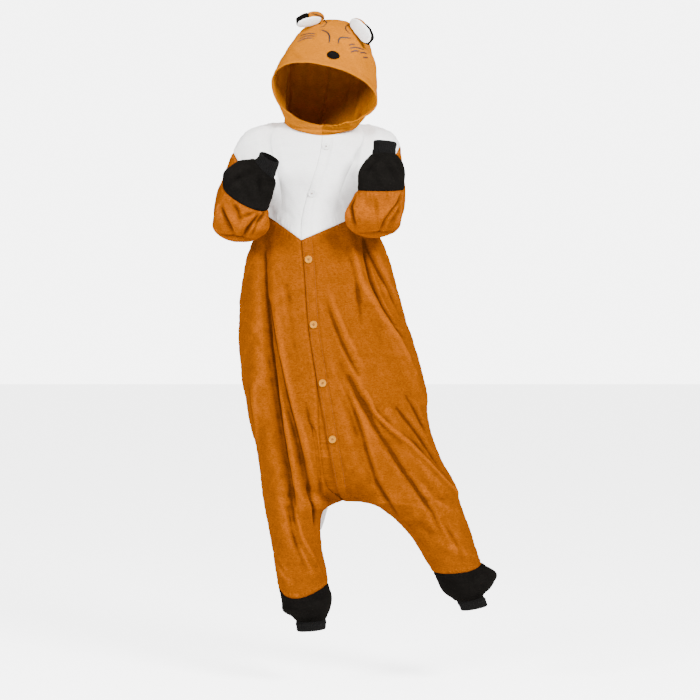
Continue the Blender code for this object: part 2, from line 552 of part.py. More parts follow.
def wall(name, surface, frame, u_at, v_at, finish, closed=False, thick=FLEECE, lift=0.0):
    """A piece of cloth: a grid laid on a surface, given its thickness inwards along the surface's normals.

    surface(u, v) gives points, and frame(u, v) the ways along u and v and the normal out of the garment.
    u_at and v_at are where the columns and rows lie. Each edge is drawn in by half a seam gap.
    """
    mesh = bmesh.new()
    columns, rows = len(u_at) - 1, len(v_at) - 1
    bmesh.ops.create_grid(mesh, x_segments=columns, y_segments=rows, size=0.5)
    across = mesh.verts.layers.float.new("across")
    down = mesh.verts.layers.float.new("down")
    for vert in mesh.verts:
        vert[across], vert[down] = vert.co.x + 0.5, vert.co.y + 0.5
        if closed:
            angle = 2 * math.pi * vert[across]
            vert.co = (math.cos(angle), math.sin(angle), vert[down])
    if closed:
        bmesh.ops.remove_doubles(mesh, verts=mesh.verts[:], dist=1e-4)
    grown = bmesh.ops.extrude_face_region(mesh, geom=mesh.faces[:])["geom"]
    inner = {item for item in grown if isinstance(item, bmesh.types.BMVert)}
    verts = mesh.verts[:]
    u_unit = np.array([round(vert[across] * columns) for vert in verts])
    v_unit = np.array([round(vert[down] * rows) for vert in verts])
    u, v = np.asarray(u_at)[u_unit], np.asarray(v_at)[v_unit]
    along, along_rows, normal = frame(u, v)
    depth = np.array([thick if vert in inner else 0.0 for vert in verts])
    draw_in = SEAM_GAP / 2 + np.where(depth > 0.0, INNER_EASE, 0.0)
    side_edge = (u_unit == 0) * 1.0 - (u_unit == columns) * 1.0
    row_edge = (v_unit == 0) * 1.0 - (v_unit == rows) * 1.0
    shift = along_rows * (row_edge * draw_in)[:, None]
    if not closed:
        shift += along * (side_edge * draw_in)[:, None]
    places = surface(u, v) + shift + normal * (lift - depth)[:, None]
    for vert, point in zip(verts, places):
        vert.co = Vector(point)
    return place(mesh, name, finish)


def evenly(curve, start, end, count):
    """Table positions from start to end that are evenly spaced along a curve in space."""
    at = np.linspace(start, end, 400)
    steps = np.linalg.norm(np.diff(curve(at), axis=0), axis=1)
    lengths = np.concatenate(((0.0,), np.cumsum(steps)))
    return np.interp(np.linspace(0.0, lengths[-1], count + 1), lengths, at)


def body_rows(side, start, end, count):
    return evenly(lambda at: lower_body(side, np.full_like(at, 0.25), at), start, end, count)


def front_columns():
    neck = np.linspace(0.0, NECK_SHARE, NECK_COLUMNS + 1)
    return np.concatenate((neck, np.linspace(NECK_SHARE, SIDE_FRONT, SHOULDER_COLUMNS_FRONT + 1)[1:]))


def back_columns():
    neck = np.linspace(1.0 - NECK_SHARE, 1.0, NECK_COLUMNS + 1)
    return np.concatenate((np.linspace(SIDE_BACK, 1.0 - NECK_SHARE, SHOULDER_COLUMNS_BACK + 1), neck[1:]))


def upper_rows():
    return np.linspace(-1.0, 0.0, UPPER_ROWS + 1)


def torso_rows():
    return body_rows("near", 0.0, CROTCH, BODY_ROWS)


def first_column_share(at):
    """Share of the far half's ring that the placket covers: the first column of the grid."""
    column = NECK_SHARE / NECK_COLUMNS
    row = read(FAR_ROWS, np.clip(at, 0.0, PLACKET_END))
    half_width = row[..., BODY_COLUMNS.index("side_x")] - row[..., BODY_COLUMNS.index("front_x")]
    band = PLACKET_WIDTH / (np.pi * half_width)
    below_neck, above_crotch = smooth(-1.0, 0.0, at), smooth(CROTCH, PLACKET_END, at)
    return column + (band - column) * below_neck * above_crotch


def far_body(share, at):
    """body for the far half, its first column as wide as the placket."""
    share, at = np.broadcast_arrays(np.asarray(share, float), np.asarray(at, float))
    column, band = NECK_SHARE / NECK_COLUMNS, first_column_share(at)
    beyond = band + (share - column) * (NECK_SHARE - band) / (NECK_SHARE - column)
    moved = np.where(share < column, share * band / column, beyond)
    return body("far", np.where(share < NECK_SHARE, moved, share), at)


def near_body(share, at):
    return body("near", share, at)


def body_surface(side):
    """The surface of one half and its frame."""
    surface = near_body if side == "near" else far_body
    return surface, lambda share, at: body_frame(side, surface, share, at)


def make_body(side):
    """Chest, front, back, lower leg and ankle cuff of one half."""
    surface, frame = body_surface(side)

    def piece(name, columns, rows, finish, **more):
        return wall(f"{name}_{side}", surface, frame, columns, rows, finish, **more)

    lower = np.concatenate((torso_rows(), body_rows(side, CROTCH, ANKLE_SEAM, LEG_ROWS)[1:]))
    front, back = front_columns(), back_columns()
    piece("chest", front, upper_rows(), "white fleece")
    piece("front", front, lower, "orange fleece")
    piece("back", back, np.concatenate((upper_rows(), lower[1:])), "orange fleece")
    ring = np.concatenate((front, back[1:]))
    end_rows = body_rows(side, ANKLE_SEAM, RIB_SEAM, LEG_END_ROWS)
    piece("leg_end", ring, end_rows, "black fleece", closed=True)
    cuff_rows = np.linspace(RIB_SEAM, LEG_HEM, CUFF_ROWS + 1)
    piece("ankle_cuff", ring, cuff_rows, "black rib", closed=True, thick=RIB)


def make_placket():
    """The band on the far front that carries the buttons, and the strip behind the opening."""
    surface, frame = body_surface("far")
    _, near_frame = body_surface("near")
    column = NECK_SHARE / NECK_COLUMNS
    on_top, behind = FLEECE + SEAM_GAP, FLEECE + 2.5 * SEAM_GAP
    at_chest = upper_rows()
    at_chest[0] += PLACKET_DROP
    down = torso_rows()
    at_body, behind_body = down[down <= BAND_END], down[down <= STRIP_END]
    for name, rows, finish in (("chest", at_chest, "white fleece"), ("body", at_body, "orange fleece")):
        wall(f"placket_{name}", surface, frame, (0.0, column), rows, finish, lift=on_top)

    def strip(u, at):
        parts = {"near": np.zeros(u.shape + (3,)), "far": np.zeros(u.shape + (3,))}
        for side, half in (("near", near_body), ("far", far_body)):
            edge, inside = half(np.zeros_like(u), at), half(np.full_like(u, column), at)
            share = np.interp(u, range(len(UNDER_STRIP)), UNDER_STRIP)[..., None]
            parts[side] = edge + np.abs(share) * (inside - edge)
        return np.where((u < UNDER_STRIP_MIDDLE)[..., None], parts["far"], parts["near"])

    def strip_frame(u, at):
        at_far = (u < UNDER_STRIP_MIDDLE)[..., None]
        share = np.full_like(u, column / 4)
        _, far_down, far_normal = frame(share, at)
        _, near_down, near_normal = near_frame(share, at)
        along = np.zeros_like(far_down)
        along[..., 0] = -1.0
        return along, np.where(at_far, far_down, near_down), np.where(at_far, far_normal, near_normal)

    places = np.arange(len(UNDER_STRIP), dtype=float)
    for name, rows, finish in (("chest", at_chest, "white fleece"), ("body", behind_body, "orange fleece")):
        wall(f"placket_under_{name}", strip, strip_frame, places, rows, finish, lift=-behind)


def make_sleeve(side):
    """Orange sleeve, black lower sleeve and wrist cuff."""
    outward = 1.0 if side == "near" else -1.0

    def surface(turn, at):
        return sleeve(side, turn, at)

    def limits(turn, at):
        return turn - 1.0, turn + 1.0, np.zeros_like(at), np.full_like(at, float(WRIST_HEM))

    def frame(turn, at):
        along, down, normal = frame_at(surface, turn, at, limits)
        return along, down, outward * normal

    def rows(start, end, count):
        return evenly(lambda at: sleeve(side, np.full_like(at, 0.0), at), start, end, count)

    def piece(name, at_rows, finish, thick=FLEECE):
        return wall(f"{name}_{side}", surface, frame, around, at_rows, finish, closed=True, thick=thick)

    around = np.linspace(0.0, 1.0, SLEEVE_COLUMNS + 1)
    piece("sleeve", rows(SLEEVE_START, WRIST_SEAM, SLEEVE_ROWS), "orange fleece")
    piece("sleeve_end", rows(WRIST_SEAM, WRIST_RIB, LOWER_SLEEVE_ROWS), "black fleece")
    piece("wrist_cuff", np.linspace(WRIST_RIB, WRIST_HEM, CUFF_ROWS + 1), "black rib", RIB)


def hood_frame(turn, at):
    """The ways along the hood's surface and its outward normal."""

    def limits(turn, at):
        return turn - 1.0, turn + 1.0, np.zeros_like(at), np.full_like(at, float(NECK_SEAM))

    return frame_at(hood, turn, at, limits)


def make_hood():
    """Face panel and the two back panels, open at the centre front."""
    around = np.linspace(0.0, 1.0, 4 * NECK_COLUMNS + 1)
    middle = 2 * NECK_COLUMNS
    face_rows = np.linspace(0.0, CROWN_SEAM, FACE_ROWS + 1)
    back_rows = np.linspace(CROWN_SEAM, NECK_SEAM, HOOD_BACK_ROWS + 1)
    wall("hood_face", hood, hood_frame, around, face_rows, "orange fleece")
    wall("hood_near", hood, hood_frame, around[: middle + 1], back_rows, "orange fleece")
    wall("hood_far", hood, hood_frame, around[middle:], back_rows, "orange fleece")


def rays(*names):
    """The named pieces as one tree to cast rays on."""
    points, faces = [], []
    for name in names:
        data = bpy.data.objects[name].data
        faces += [[len(points) + corner for corner in face.vertices] for face in data.polygons]
        points += [vert.co.copy() for vert in data.vertices]
    return BVHTree.FromPolygons(points, faces)


def seat(tree, point, way):
    """How far along a unit way the outermost cloth under a point is."""
    way = Vector(way)
    _, _, _, reach = tree.ray_cast(Vector(point) + way * SEAT_REACH, -way)
    return None if reach is None else SEAT_REACH - reach


def make_buttons():
    """Six dished buttons on the placket."""
    surface, frame = body_surface("far")
    column = NECK_SHARE / NECK_COLUMNS
    tree = rays("placket_chest", "placket_body")
    heights = np.linspace(-1.0, PLACKET_END, 400)
    drop = surface(np.zeros_like(heights), heights)[:, 2]
    share = np.array(column * BUTTON_FROM_EDGE / PLACKET_WIDTH)
    for number, height in enumerate(BUTTON_HEIGHTS):
        at = np.array(np.interp(-height, -drop, heights))
        along, down, normal = (Vector(way) for way in frame(share, at))
        across = normal.cross(down).normalized()
        middle = Vector(surface(share, at)) + normal * (2 * FLEECE + SEAM_GAP)
        angles = np.arange(BUTTON_COLUMNS) * 2 * math.pi / BUTTON_COLUMNS
        rim = [BUTTON_RADIUS * (down * math.cos(a) + across * math.sin(a)) for a in angles]
        raised = [seat(tree, middle + step, normal) for step in rim + [Vector((0, 0, 0))]]
        base = middle + normal * (max(lift for lift in raised if lift is not None) + SEAM_GAP)

        def surface_of_button(turn, at_profile):
            radius, high = np.moveaxis(read(BUTTON_PROFILE, at_profile), -1, 0)
            a = 2 * math.pi * turn[..., None]
            around = np.array(down) * np.cos(a) + np.array(across) * np.sin(a)
            out = around * radius[..., None] * BUTTON_RADIUS
            return np.array(base) + out + np.array(normal) * (high * BUTTON_HEIGHT)[..., None]

        finish = "white button" if number < WHITE_BUTTONS else "yellow button"
        profile = np.arange(len(BUTTON_PROFILE), dtype=float)
        solid(f"button_{number + 1}", surface_of_button, profile, BUTTON_COLUMNS, finish)


def make_nose():
    """The oval nose patch, laid on the face panel."""
    tree = rays("hood_face")
    turn, at = np.meshgrid(np.linspace(0.45, 0.62, 80), np.linspace(0.2, 1.4, 80))
    points = hood(turn, at)
    off = np.hypot(points[..., 0] - NOSE_PLACE[0], points[..., 2] - NOSE_PLACE[1])
    best = np.unravel_index(np.argmin(off), off.shape)
    along, down, normal = hood_frame(turn[best], at[best])
    across = unit(np.array(NOSE_WIDE_WAY))
    across = unit(across - normal * (across @ normal))
    upward = np.cross(normal, across)

    def surface(u, v):
        aside = u * np.sqrt(1.0 - v**2 / 2) * NOSE_SIZE[0]
        up = v * np.sqrt(1.0 - u**2 / 2) * NOSE_SIZE[1]
        flat = points[best] + aside[..., None] * across + up[..., None] * upward
        reach = [seat(tree, point, normal) for point in flat]
        return flat + np.array(reach)[:, None] * normal

    def frame(u, v):
        return tuple(np.broadcast_to(way, u.shape + (3,)) for way in (across, upward, normal))

    places = np.linspace(-1.0, 1.0, NOSE_GRID + 1)
    lift = NOSE_WALL + 2 * SEAM_GAP
    wall("nose", surface, frame, places, places, "black fleece", thick=NOSE_WALL, lift=lift)


def padded_form(rows, wide_way):
    """The surface of a padded piece: turn goes round a ring, at down the rows of its table."""

    def surface(turn, at):
        turn, at = np.broadcast_arrays(np.asarray(turn, float), np.asarray(at, float))
        values, step = read(rows, at), 0.05
        travel = unit((read(rows, at + step) - read(rows, at - step))[..., 0:3])
        way = np.asarray(wide_way, float)
        wide = unit(way - travel * (travel @ way)[..., None])
        deep = np.cross(wide, travel)
        angle = 2 * math.pi * turn[..., None]
        out = wide * values[..., 3:4] * np.cos(angle) + deep * values[..., 4:5] * np.sin(angle)
        return values[..., 0:3] + out

    return surface


def solid(name, surface, at_rows, columns, finish, root=None):
    """A closed solid from rings of a surface, capped at both ends; root(point) seats its first ring."""
    mesh = bmesh.new()
    rows = len(at_rows) - 1
    bmesh.ops.create_grid(mesh, x_segments=columns, y_segments=rows, size=0.5)
    across = mesh.verts.layers.float.new("across")
    down = mesh.verts.layers.float.new("down")
    for vert in mesh.verts:
        vert[across], vert[down] = vert.co.x + 0.5, vert.co.y + 0.5
        angle = 2 * math.pi * vert[across]
        vert.co = (math.cos(angle), math.sin(angle), vert[down])
    bmesh.ops.remove_doubles(mesh, verts=mesh.verts[:], dist=1e-4)
    turn = np.array([vert[across] for vert in mesh.verts])
    row = np.array([round(vert[down] * rows) for vert in mesh.verts])
    points = surface(turn, np.asarray(at_rows)[row])
    first = {vert for vert, at in zip(mesh.verts, row) if at == 0}
    for vert, point in zip(mesh.verts, points):
        vert.co = Vector(point)
    ends = bmesh.ops.holes_fill(mesh, edges=mesh.edges[:], sides=0)["faces"]
    root_end = next(face for face in ends if first & set(face.verts))
    seated = bmesh.ops.poke(mesh, faces=[root_end])["verts"] + list(first)
    if root is not None:
        for vert in seated:
            vert.co = root(vert.co)
    return place(mesh, name, finish)


def make_tail():
    """Padded tail with a white tip, sewn to the backs."""
    surface = padded_form(TAIL, TAIL_WIDE_WAY)
    tree = rays("back_near", "back_far")
    away = Vector((0.0, 1.0, 0.0))

    def root(point):
        return point + away * (seat(tree, point, away) + ROOT_GAP)

    ends = len(TAIL) - 1
    gap = SEAM_GAP / 2 / TAIL_ROW
    body_rows_at = np.concatenate((np.linspace(0.0, 1.0, 3), np.linspace(1.0, TAIL_TIP - gap, 6)[1:]))
    solid("tail", surface, body_rows_at, PADDED_COLUMNS, "orange fleece", root)
    solid("tail_tip", surface, np.linspace(TAIL_TIP + gap, ends, 5), PADDED_COLUMNS, "white fleece")


def make_ear(side):
    """Padded ear: orange back, black tip and the white inner laid on its front."""
    rows, way = (NEAR_EAR, NEAR_EAR_WIDE_WAY) if side == "near" else (FAR_EAR, FAR_EAR_WIDE_WAY)
    surface = padded_form(rows, way)
    tree = rays("hood_face", "hood_near", "hood_far")
    root_point = np.array(rows[0][0:3])
    away = Vector(unit(np.array(rows[1][0:3]) - root_point))

    def root(point):
        return point + away * (seat(tree, point, away) + ROOT_GAP)

    ends = len(rows) - 1
    gap = SEAM_GAP / 2 / EAR_ROW
    body_at = np.concatenate(((0.0, 0.5), np.linspace(1.0, EAR_TIP - gap, 4)))
    tip_at = np.linspace(EAR_TIP + gap, ends, 5)
    solid(f"ear_{side}", surface, body_at, PADDED_COLUMNS, "orange fleece", root)
    solid(f"ear_tip_{side}", surface, tip_at, PADDED_COLUMNS, "black fleece")

    def limits(turn, at):
        return turn - 1.0, turn + 1.0, np.zeros_like(at), np.full_like(at, float(ends))

    def frame(turn, at):
        along, down, inward = frame_at(surface, turn, at, limits)
        return along, down, -inward

    first, last = EAR_INNER[side]
    turns = np.arange(first, last + 1) / PADDED_COLUMNS
    rows_at = np.concatenate((body_at[3:-1], (EAR_TIP,), tip_at[1:-1]))
    name, lift = f"ear_inner_{side}", EAR_INNER_WALL + SEAM_GAP
    wall(name, surface, frame, turns, rows_at, "white fleece", thick=EAR_INNER_WALL, lift=lift)


def main():
    for item in list(bpy.data.objects):
        bpy.data.objects.remove(item, do_unlink=True)
    parts = bpy.data.collections.new("fox_onesie")
    bpy.context.scene.collection.children.link(parts)
    for side in ("near", "far"):
        make_body(side)
        make_sleeve(side)
    make_placket()
    make_buttons()
    make_hood()
    make_nose()
    for side in ("near", "far"):
        make_ear(side)
    make_tail()


main()
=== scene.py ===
"""Cloth, trims and stage for a hooded fox onesie, in the hollow form it keeps when it is worn.

Metres, +Z up, the front of the garment towards -Y, the origin at the base of the neck. "near" is the -X half
and "far" is the +X half. Every panel is a fine grid on the surface that its short table gives, with the
smaller creases added, and takes its wall from a Solidify modifier. Run it as a script.
"""

import json
import math

import bmesh
import bpy
import numpy as np
from bpy.props import FloatProperty, FloatVectorProperty, IntProperty, PointerProperty
from mathutils import Matrix, Vector
from mathutils.bvhtree import BVHTree

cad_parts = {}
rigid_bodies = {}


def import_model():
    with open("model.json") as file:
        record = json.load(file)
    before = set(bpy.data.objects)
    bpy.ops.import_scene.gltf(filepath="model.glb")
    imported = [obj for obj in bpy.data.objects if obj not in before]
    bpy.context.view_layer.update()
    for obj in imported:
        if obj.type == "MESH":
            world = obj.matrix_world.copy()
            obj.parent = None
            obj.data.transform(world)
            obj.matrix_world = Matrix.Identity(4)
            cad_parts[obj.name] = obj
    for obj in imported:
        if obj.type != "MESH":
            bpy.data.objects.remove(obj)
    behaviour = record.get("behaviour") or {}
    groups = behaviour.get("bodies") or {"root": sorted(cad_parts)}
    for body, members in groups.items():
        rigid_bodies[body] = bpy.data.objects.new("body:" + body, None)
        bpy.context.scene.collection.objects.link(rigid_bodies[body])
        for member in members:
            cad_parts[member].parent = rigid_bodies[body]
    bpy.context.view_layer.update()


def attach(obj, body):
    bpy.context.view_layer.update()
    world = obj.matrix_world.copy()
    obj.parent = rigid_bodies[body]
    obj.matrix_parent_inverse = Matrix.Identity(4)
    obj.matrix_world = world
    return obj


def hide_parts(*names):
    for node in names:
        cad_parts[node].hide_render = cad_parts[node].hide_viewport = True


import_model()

bl_info = {
    "name": "Fox Onesie",
    "version": (1, 0, 0),
    "blender": (4, 5, 0),
    "location": "View3D > Sidebar > Onesie",
    "description": "Fleece panels, rib cuffs, embroidery, buttons and stage for a fox onesie",
    "category": "Object",
}

# The cut, in metres. Each table is read smoothly between its rows.
SEAM_GAP = 0.0003  # between two sewn pieces
PLACKET_WIDTH = 0.028  # the band that carries the buttons
BUTTON_FROM_EDGE = 0.012  # from the placket's free edge to the middle of a button
NOSE_SIZE = (0.0158, 0.0107)  # half width and half height
NOSE_PLACE = (0.0386, 0.159)  # x and z on the face panel
NOSE_WIDE_WAY = (1.0, 0.0, -0.12)
NOSE_TURNS, NOSE_LOOPS = (0.45, 0.62, 80), (0.2, 1.4, 80)  # places on the hood that are searched for it
SEAT_REACH = 0.08  # how far above a panel the pieces laid on it look for it

# Coarse columns and rows of the panels; the shown cloth divides each of them.
NECK_COLUMNS = 5
SHOULDER_COLUMNS = 6
UPPER_ROWS = 8
BODY_ROWS = 14
LEG_ROWS = 6
SLEEVE_COLUMNS = 16
SLEEVE_ROWS = 12
SLEEVE_END_ROWS = 5
LEG_END_ROWS = 5
CUFF_ROWS = 20
CUFF_POINTS = 100  # that a cuff's ring is measured at
RIB_COLUMNS = 6
BAND_END, STRIP_END = 6.75, 6.92  # rows where the placket and the strip behind it end, above the crotch
HOOD_COLUMNS = 36
FACE_ROWS = 60
RIM_CROWDING = 1.4  # how much closer the rows of the face panel lie at its rim
HOOD_BACK_ROWS = 8
PATCH_GRID = 28
PADDED_COLUMNS = 40
TAIL_RINGS, EAR_RINGS = (32, 24), (24, 20)  # of the root part and of the tip
EAR_COLUMNS = 12  # that the columns of the inner ear are counted in
EAR_INNER_ROWS = (1.2, 4.9)  # of the ear's table
TAIL_ROW, EAR_ROW = 0.08, 0.016  # about how long a row of the tail's and of an ear's table is
CUT_SHARE = 0.45  # least share of its rectangle that a panel's cut fills

# Small forms, in metres.
SEAM_LIP = 0.004  # how far the cloth turns in at a seam
SEAM_TUCK = -0.0002  # and how far short of the seam it stops, so that no light passes
NECK_CALM, NECK_CALM_SHARE = 0.012, 0.05  # how far from the neck seam the cloth's relief comes in, down and across
CUFF_FOLD, CUFF_FOLD_REACH = 0.0018, 0.006
CURL_STRETCH = 3.6  # how much flatter than wide the curls of the fleece are
BAND_STEP, BAND_PRESS, BAND_STITCH, BAND_GROOVE = 0.0022, 0.010, 0.004, 0.0004
BAND_GROOVE_WIDTH = 0.0016
BAND_EDGE = 0.0010  # how far the free edge of the band lies lower
STRIP_PUCKER = (0.0004, 0.013)  # height and pitch of the gathers behind the foot of the opening
STRIP_GATHERED = (3.0, 5.0)  # rows between which they come in
STRIP_BEHIND = 2.5  # seam gaps between the fronts and the strip behind them
LINE_PULL = (0.0012, 0.004)  # how deep and how far the embroidery draws the face in
ROLL_DRAWN, ROLL_REACH = 0.09, 0.006
OPENING_EDGE = (0.0, 0.02)  # how far round from the opening the creases beside it start
CREASE_POINTS = 7  # points of a crease whose path is in table positions
CREASE_SPANS = ((0.006, 0.0050), (0.020, 0.0160))  # how wide the creases are that are painted darker as shade, and how deep; ridges are painted lighter as a highlight
PATCH_ROLL, PATCH_ROLL_REACH = 0.0012, 0.004
PATCH_ROUND = 0.36  # how round the ear's inner is, 0 for a rectangle and 0.5 for an ellipse
NOSE_DOME, NOSE_STITCH = 0.0022, 0.0009
NOSE_STITCH_AT, NOSE_STITCH_WIDTH = 0.8, 0.08  # shares of its radius
LINE_STEP = 0.0006
LINE_POINTS = 200  # that a line of embroidery is read at
LINE_STEPS = 400  # that a curve is divided into to measure it
SATIN_RIDGE, SATIN_HEIGHT, SATIN_COLUMNS = 0.09, 0.0011, 10
SATIN_END = 0.05  # how full a line still is at its ends
STITCH_HALF = 0.38  # half length of a topstitch, share of its pitch
STITCH_OFF = 0.01  # from the cloth, past which a stitch is left out
PLACKET_POINTS, RIM_POINTS = 160, 600  # of the rows of topstitches
RIM_ENDS = (0.004, 0.996)  # turns round the hood's rim between which it is stitched
RIM_LOOP = 0.25  # part of the first loop that the stitches' depth is measured on
BUTTON_HOLES, HOLE_STEPS = 4, 16
HOLES_OUT = 2.0  # from the middle of a button to its holes, in hole radii
BUTTON_STEPS = 48
BUTTON_EDGE = 0.0002  # rounding of its edges and of its holes
BUTTON_SEATS = 12  # points of its rim that are set on the placket
BUTTON_TURNS = (0.3, -0.2, 0.1, 0.45, -0.35, 0.2)  # radians
BUTTON_SPUN = (
    # share of the radius, share of the height
    (0.86, 0.00),
    (0.97, 0.12),
    (1.00, 0.38),
    (0.99, 0.66),
    (0.94, 0.92),
    (0.86, 1.00),
    (0.78, 0.98),
    (0.70, 0.84),
    (0.62, 0.72),
    (0.50, 0.68),
)

# Embroidery of the face, and dark thread of painted shadow round the roots of the ears: x and z of each line, and the
# half widths of the lines.
EYE_LINE, WHISKER_LINE, EAR_SHADOW_HALF_WIDTH = 0.0024, 0.0021, 0.0014
EYES = (
    ((0.009, 0.231), (0.022, 0.224), (0.029, 0.214), (0.030, 0.204), (0.029, 0.193)),
    ((0.051, 0.192), (0.053, 0.202), (0.058, 0.208), (0.068, 0.208), (0.082, 0.208)),
)
WHISKERS = (
    ((-0.042, 0.220), (-0.022, 0.222), (-0.005, 0.220)),
    ((-0.044, 0.209), (-0.027, 0.215), (-0.005, 0.213)),
    ((-0.049, 0.201), (-0.029, 0.208), (-0.010, 0.207)),
    ((0.078, 0.188), (0.085, 0.191), (0.092, 0.191)),
    ((0.080, 0.180), (0.095, 0.183), (0.114, 0.180)),
    ((0.082, 0.170), (0.092, 0.174), (0.102, 0.174)),
    ((0.104, 0.170), (0.114, 0.172), (0.121, 0.170)),
    ((0.112, 0.159), (0.119, 0.160), (0.124, 0.160)),
)
# Dark lines round the ears' roots: painted shadow where each ear meets the hood, made as thread.
EAR_SHADOW_LOOPS = (
    ((-0.015, 0.271), (0.009, 0.267), (0.018, 0.261), (0.022, 0.252), (0.014, 0.241), (0.005, 0.239)),
    ((0.080, 0.220), (0.072, 0.229), (0.069, 0.238), (0.074, 0.247), (0.088, 0.249)),
)

SIDES = ("near", "far")
NECK_SHARE = 0.2  # share of a half ring, centre front to centre back, that is neck at each end
FIRST_COLUMN = NECK_SHARE / NECK_COLUMNS  # share of the half ring of the first column of the cut
SIDE_FRONT, SIDE_BACK = 0.5, 0.5 + 1e-6  # the side seam and armhole, as edge of the front and of the back


def metres(*rows):
    """A table in metres from its rows in millimetres."""
    return np.array(rows) / 1000


# Body rows below the underarm in millimetres, one table for each half. Centre front, side and centre back are
# points of the row; front and back are its half depths about y = mid.
BODY_COLUMNS = "front_x front_z side_x side_z back_x back_z front back mid spread wrap".split()
NEAR_ROWS = (
    # front_x front_z side_x side_z back_x back_z front back mid
    (-37.5, -289, -130, -220, 0, -250, 142, 118, 0),
    (-30, -365, -177, -325, 4, -350, 152, 128, 0),
    (-19.5, -500, -197.5, -475, 10, -490, 163, 142, 0),
    (-1, -630, -192, -610, 20, -620, 168, 156, 0),
    (5, -745, -168, -730, 32, -740, 160, 160, 0),
    (11, -825, -153, -800, 44, -825, 146, 156, 0),
    (23, -890, -145, -860, 54, -890, 128, 142, 4),
    (62, -934, -140.5, -905, 62, -934, 112, 128, 8),
    (35, -944, -133.5, -942, 35, -944, 100, 115, 8),
    (11, -962, -129.5, -972, 11, -962, 92, 105, 6),
    (6, -1010, -121.5, -1018, 6, -1010, 83, 92, 4),
    (12.5, -1065, -111, -1070, 12.5, -1065, 74, 82, 2),
    (24, -1136, -99, -1137, 24, -1136, 68, 74, 0),
    (33, -1172, -92.5, -1176, 33, -1172, 68, 73, 0),
    (30, -1200, -89, -1205, 30, -1200, 62, 67, 0),
    (21.5, -1220, -60, -1226, 21.5, -1220, 36, 40, 0),
    (19.5, -1238, -55, -1242, 19.5, -1238, 33, 36, 0),
    (19.5, -1252, -53.5, -1258, 19.5, -1252, 32, 35, 0),
)
FAR_ROWS = (
    (-37.5, -289, 126, -215, 0, -250, 142, 118, 0),
    (-30, -365, 176, -325, 4, -350, 152, 128, 0),
    (-19.5, -500, 223, -490, 10, -490, 163, 142, 0),
    (1, -630, 261, -620, 20, -620, 168, 156, 0),
    (21, -745, 277, -740, 32, -740, 160, 160, 0),
    (35, -825, 304, -820, 44, -825, 146, 156, 0),
    (47, -890, 336, -880, 54, -890, 128, 142, 4),
    (62, -934, 350, -920, 62, -934, 112, 128, 8),
    (112, -933, 362, -954, 112, -933, 104, 118, 8),
    (160, -953, 374, -988, 160, -953, 96, 108, 6),
    (202, -986, 385, -1020, 202, -986, 88, 97, 4),
    (240, -1032, 397, -1053, 240, -1032, 78, 84, 0),
    (287, -1108, 409, -1083, 287, -1108, 70, 74, -4),
    (295, -1128, 447, -1112, 295, -1128, 69, 72, -6),
    (311, -1158, 433, -1146, 311, -1158, 60, 64, -6),
    (339, -1178, 415, -1163, 339, -1178, 36, 40, -6),
    (350, -1191, 417.5, -1177, 350, -1191, 33, 36, -6),
    (358, -1206, 424, -1192, 358, -1206, 32, 35, -6),
)
# How far centre front and centre back stand apart, 1 in the body and 0 down the inseam, and how far the half
# ring is wrapped into a whole one.
SPREAD = (1.0, 1.0, 1.0, 1.0, 1.0, 0.98, 0.76) + 11 * (0.0,)
WRAP = 6 * (0.0,) + (0.12, 0.50, 0.88) + 9 * (1.0,)
BODY_HALVES = {
    side: np.column_stack((metres(*rows), SPREAD, WRAP)) for side, rows in zip(SIDES, (NEAR_ROWS, FAR_ROWS))
}
PLACKET_END = 6.0  # row below which the first column narrows from the placket's width
UNDER_STRIP = (1.0, 0.25, -0.25, -0.7)  # its edges and folds, shares of the far and near first columns
UNDER_STRIP_MIDDLE = 1.5
PLACKET_DROP = 0.035  # how far below the neck seam the placket starts, share of the chest's height
CROTCH_SHARE = 0.2  # share of a half ring over which the crotch draws in
CROTCH = 7  # row where centre front and centre back meet
ANKLE_SEAM = 12  # row where the black lower leg starts
RIB_SEAM = 15.4  # between rows, where the rib cuff starts
LEG_HEM = 17
ANKLE_DIP = {"near": 0.040, "far": 0.012}  # how far the ankle seam dips at the front
ANKLE_DIP_ROWS = 1.3  # rows over which the dip dies out

# Hood: closed loops from the face opening over the crown to the neck, each through four points, in millimetres.
HOOD_LOOPS = metres(
    # lowest point, left side, top, right side: x, y, z of each
    (13, -92, -4, -111, -85, 85, -18, -143, 140, 145, -122, 58),
    (13, -90, -10, -101, -30, 100, 18, -92, 224, 147, -68, 98),
    (13, -88, -15, -83, 20, 106, 34, 0, 269, 135, 10, 103),
    (13, -87, -20, -84, 50, 78, 34, 112, 214, 118, 45, 74),
    (12, -85, -24, -83, 30, 42, 18, 124, 94, 99, 28, 42),
    (12, -84, -29, -85, 5, 15, 0, 80, 12, 90, 5, 12),
)
HOOD_SQUARE = 0.06  # how square the crown is, 0 for an ellipse
CROWN_SEAM = 2  # loop where the face panel ends and the ears are sewn in
NECK_SEAM = 5

# Shoulder seam from the side of the neck to the tip of the shoulder: x and z at y = 0.
SHOULDERS = {
    "near": ((-0.122, 0.012), (-0.160, 0.001), (-0.190, -0.019)),
    "far": ((0.126, 0.009), (0.158, 0.000), (0.186, -0.014)),
}

# How the cloth leaves the neck and shoulder seams on its way down to the underarm.
TOP_SLOPES = (70, 22, 8)  # degrees below level at centre front, at the side of the neck and at the shoulder
NECK_SWING = 40  # degrees by which it swings sideways at the side of the neck
LEVEL_SHARE = 0.42  # share of the half ring from which the shoulder's slope holds
DRAPE_REACH = (1.05, 0.35)  # how full the drape is, and how much fuller below the side of the neck
ARMHOLE_PULL = 0.1  # share of the half ring from which the cloth bends to the armhole

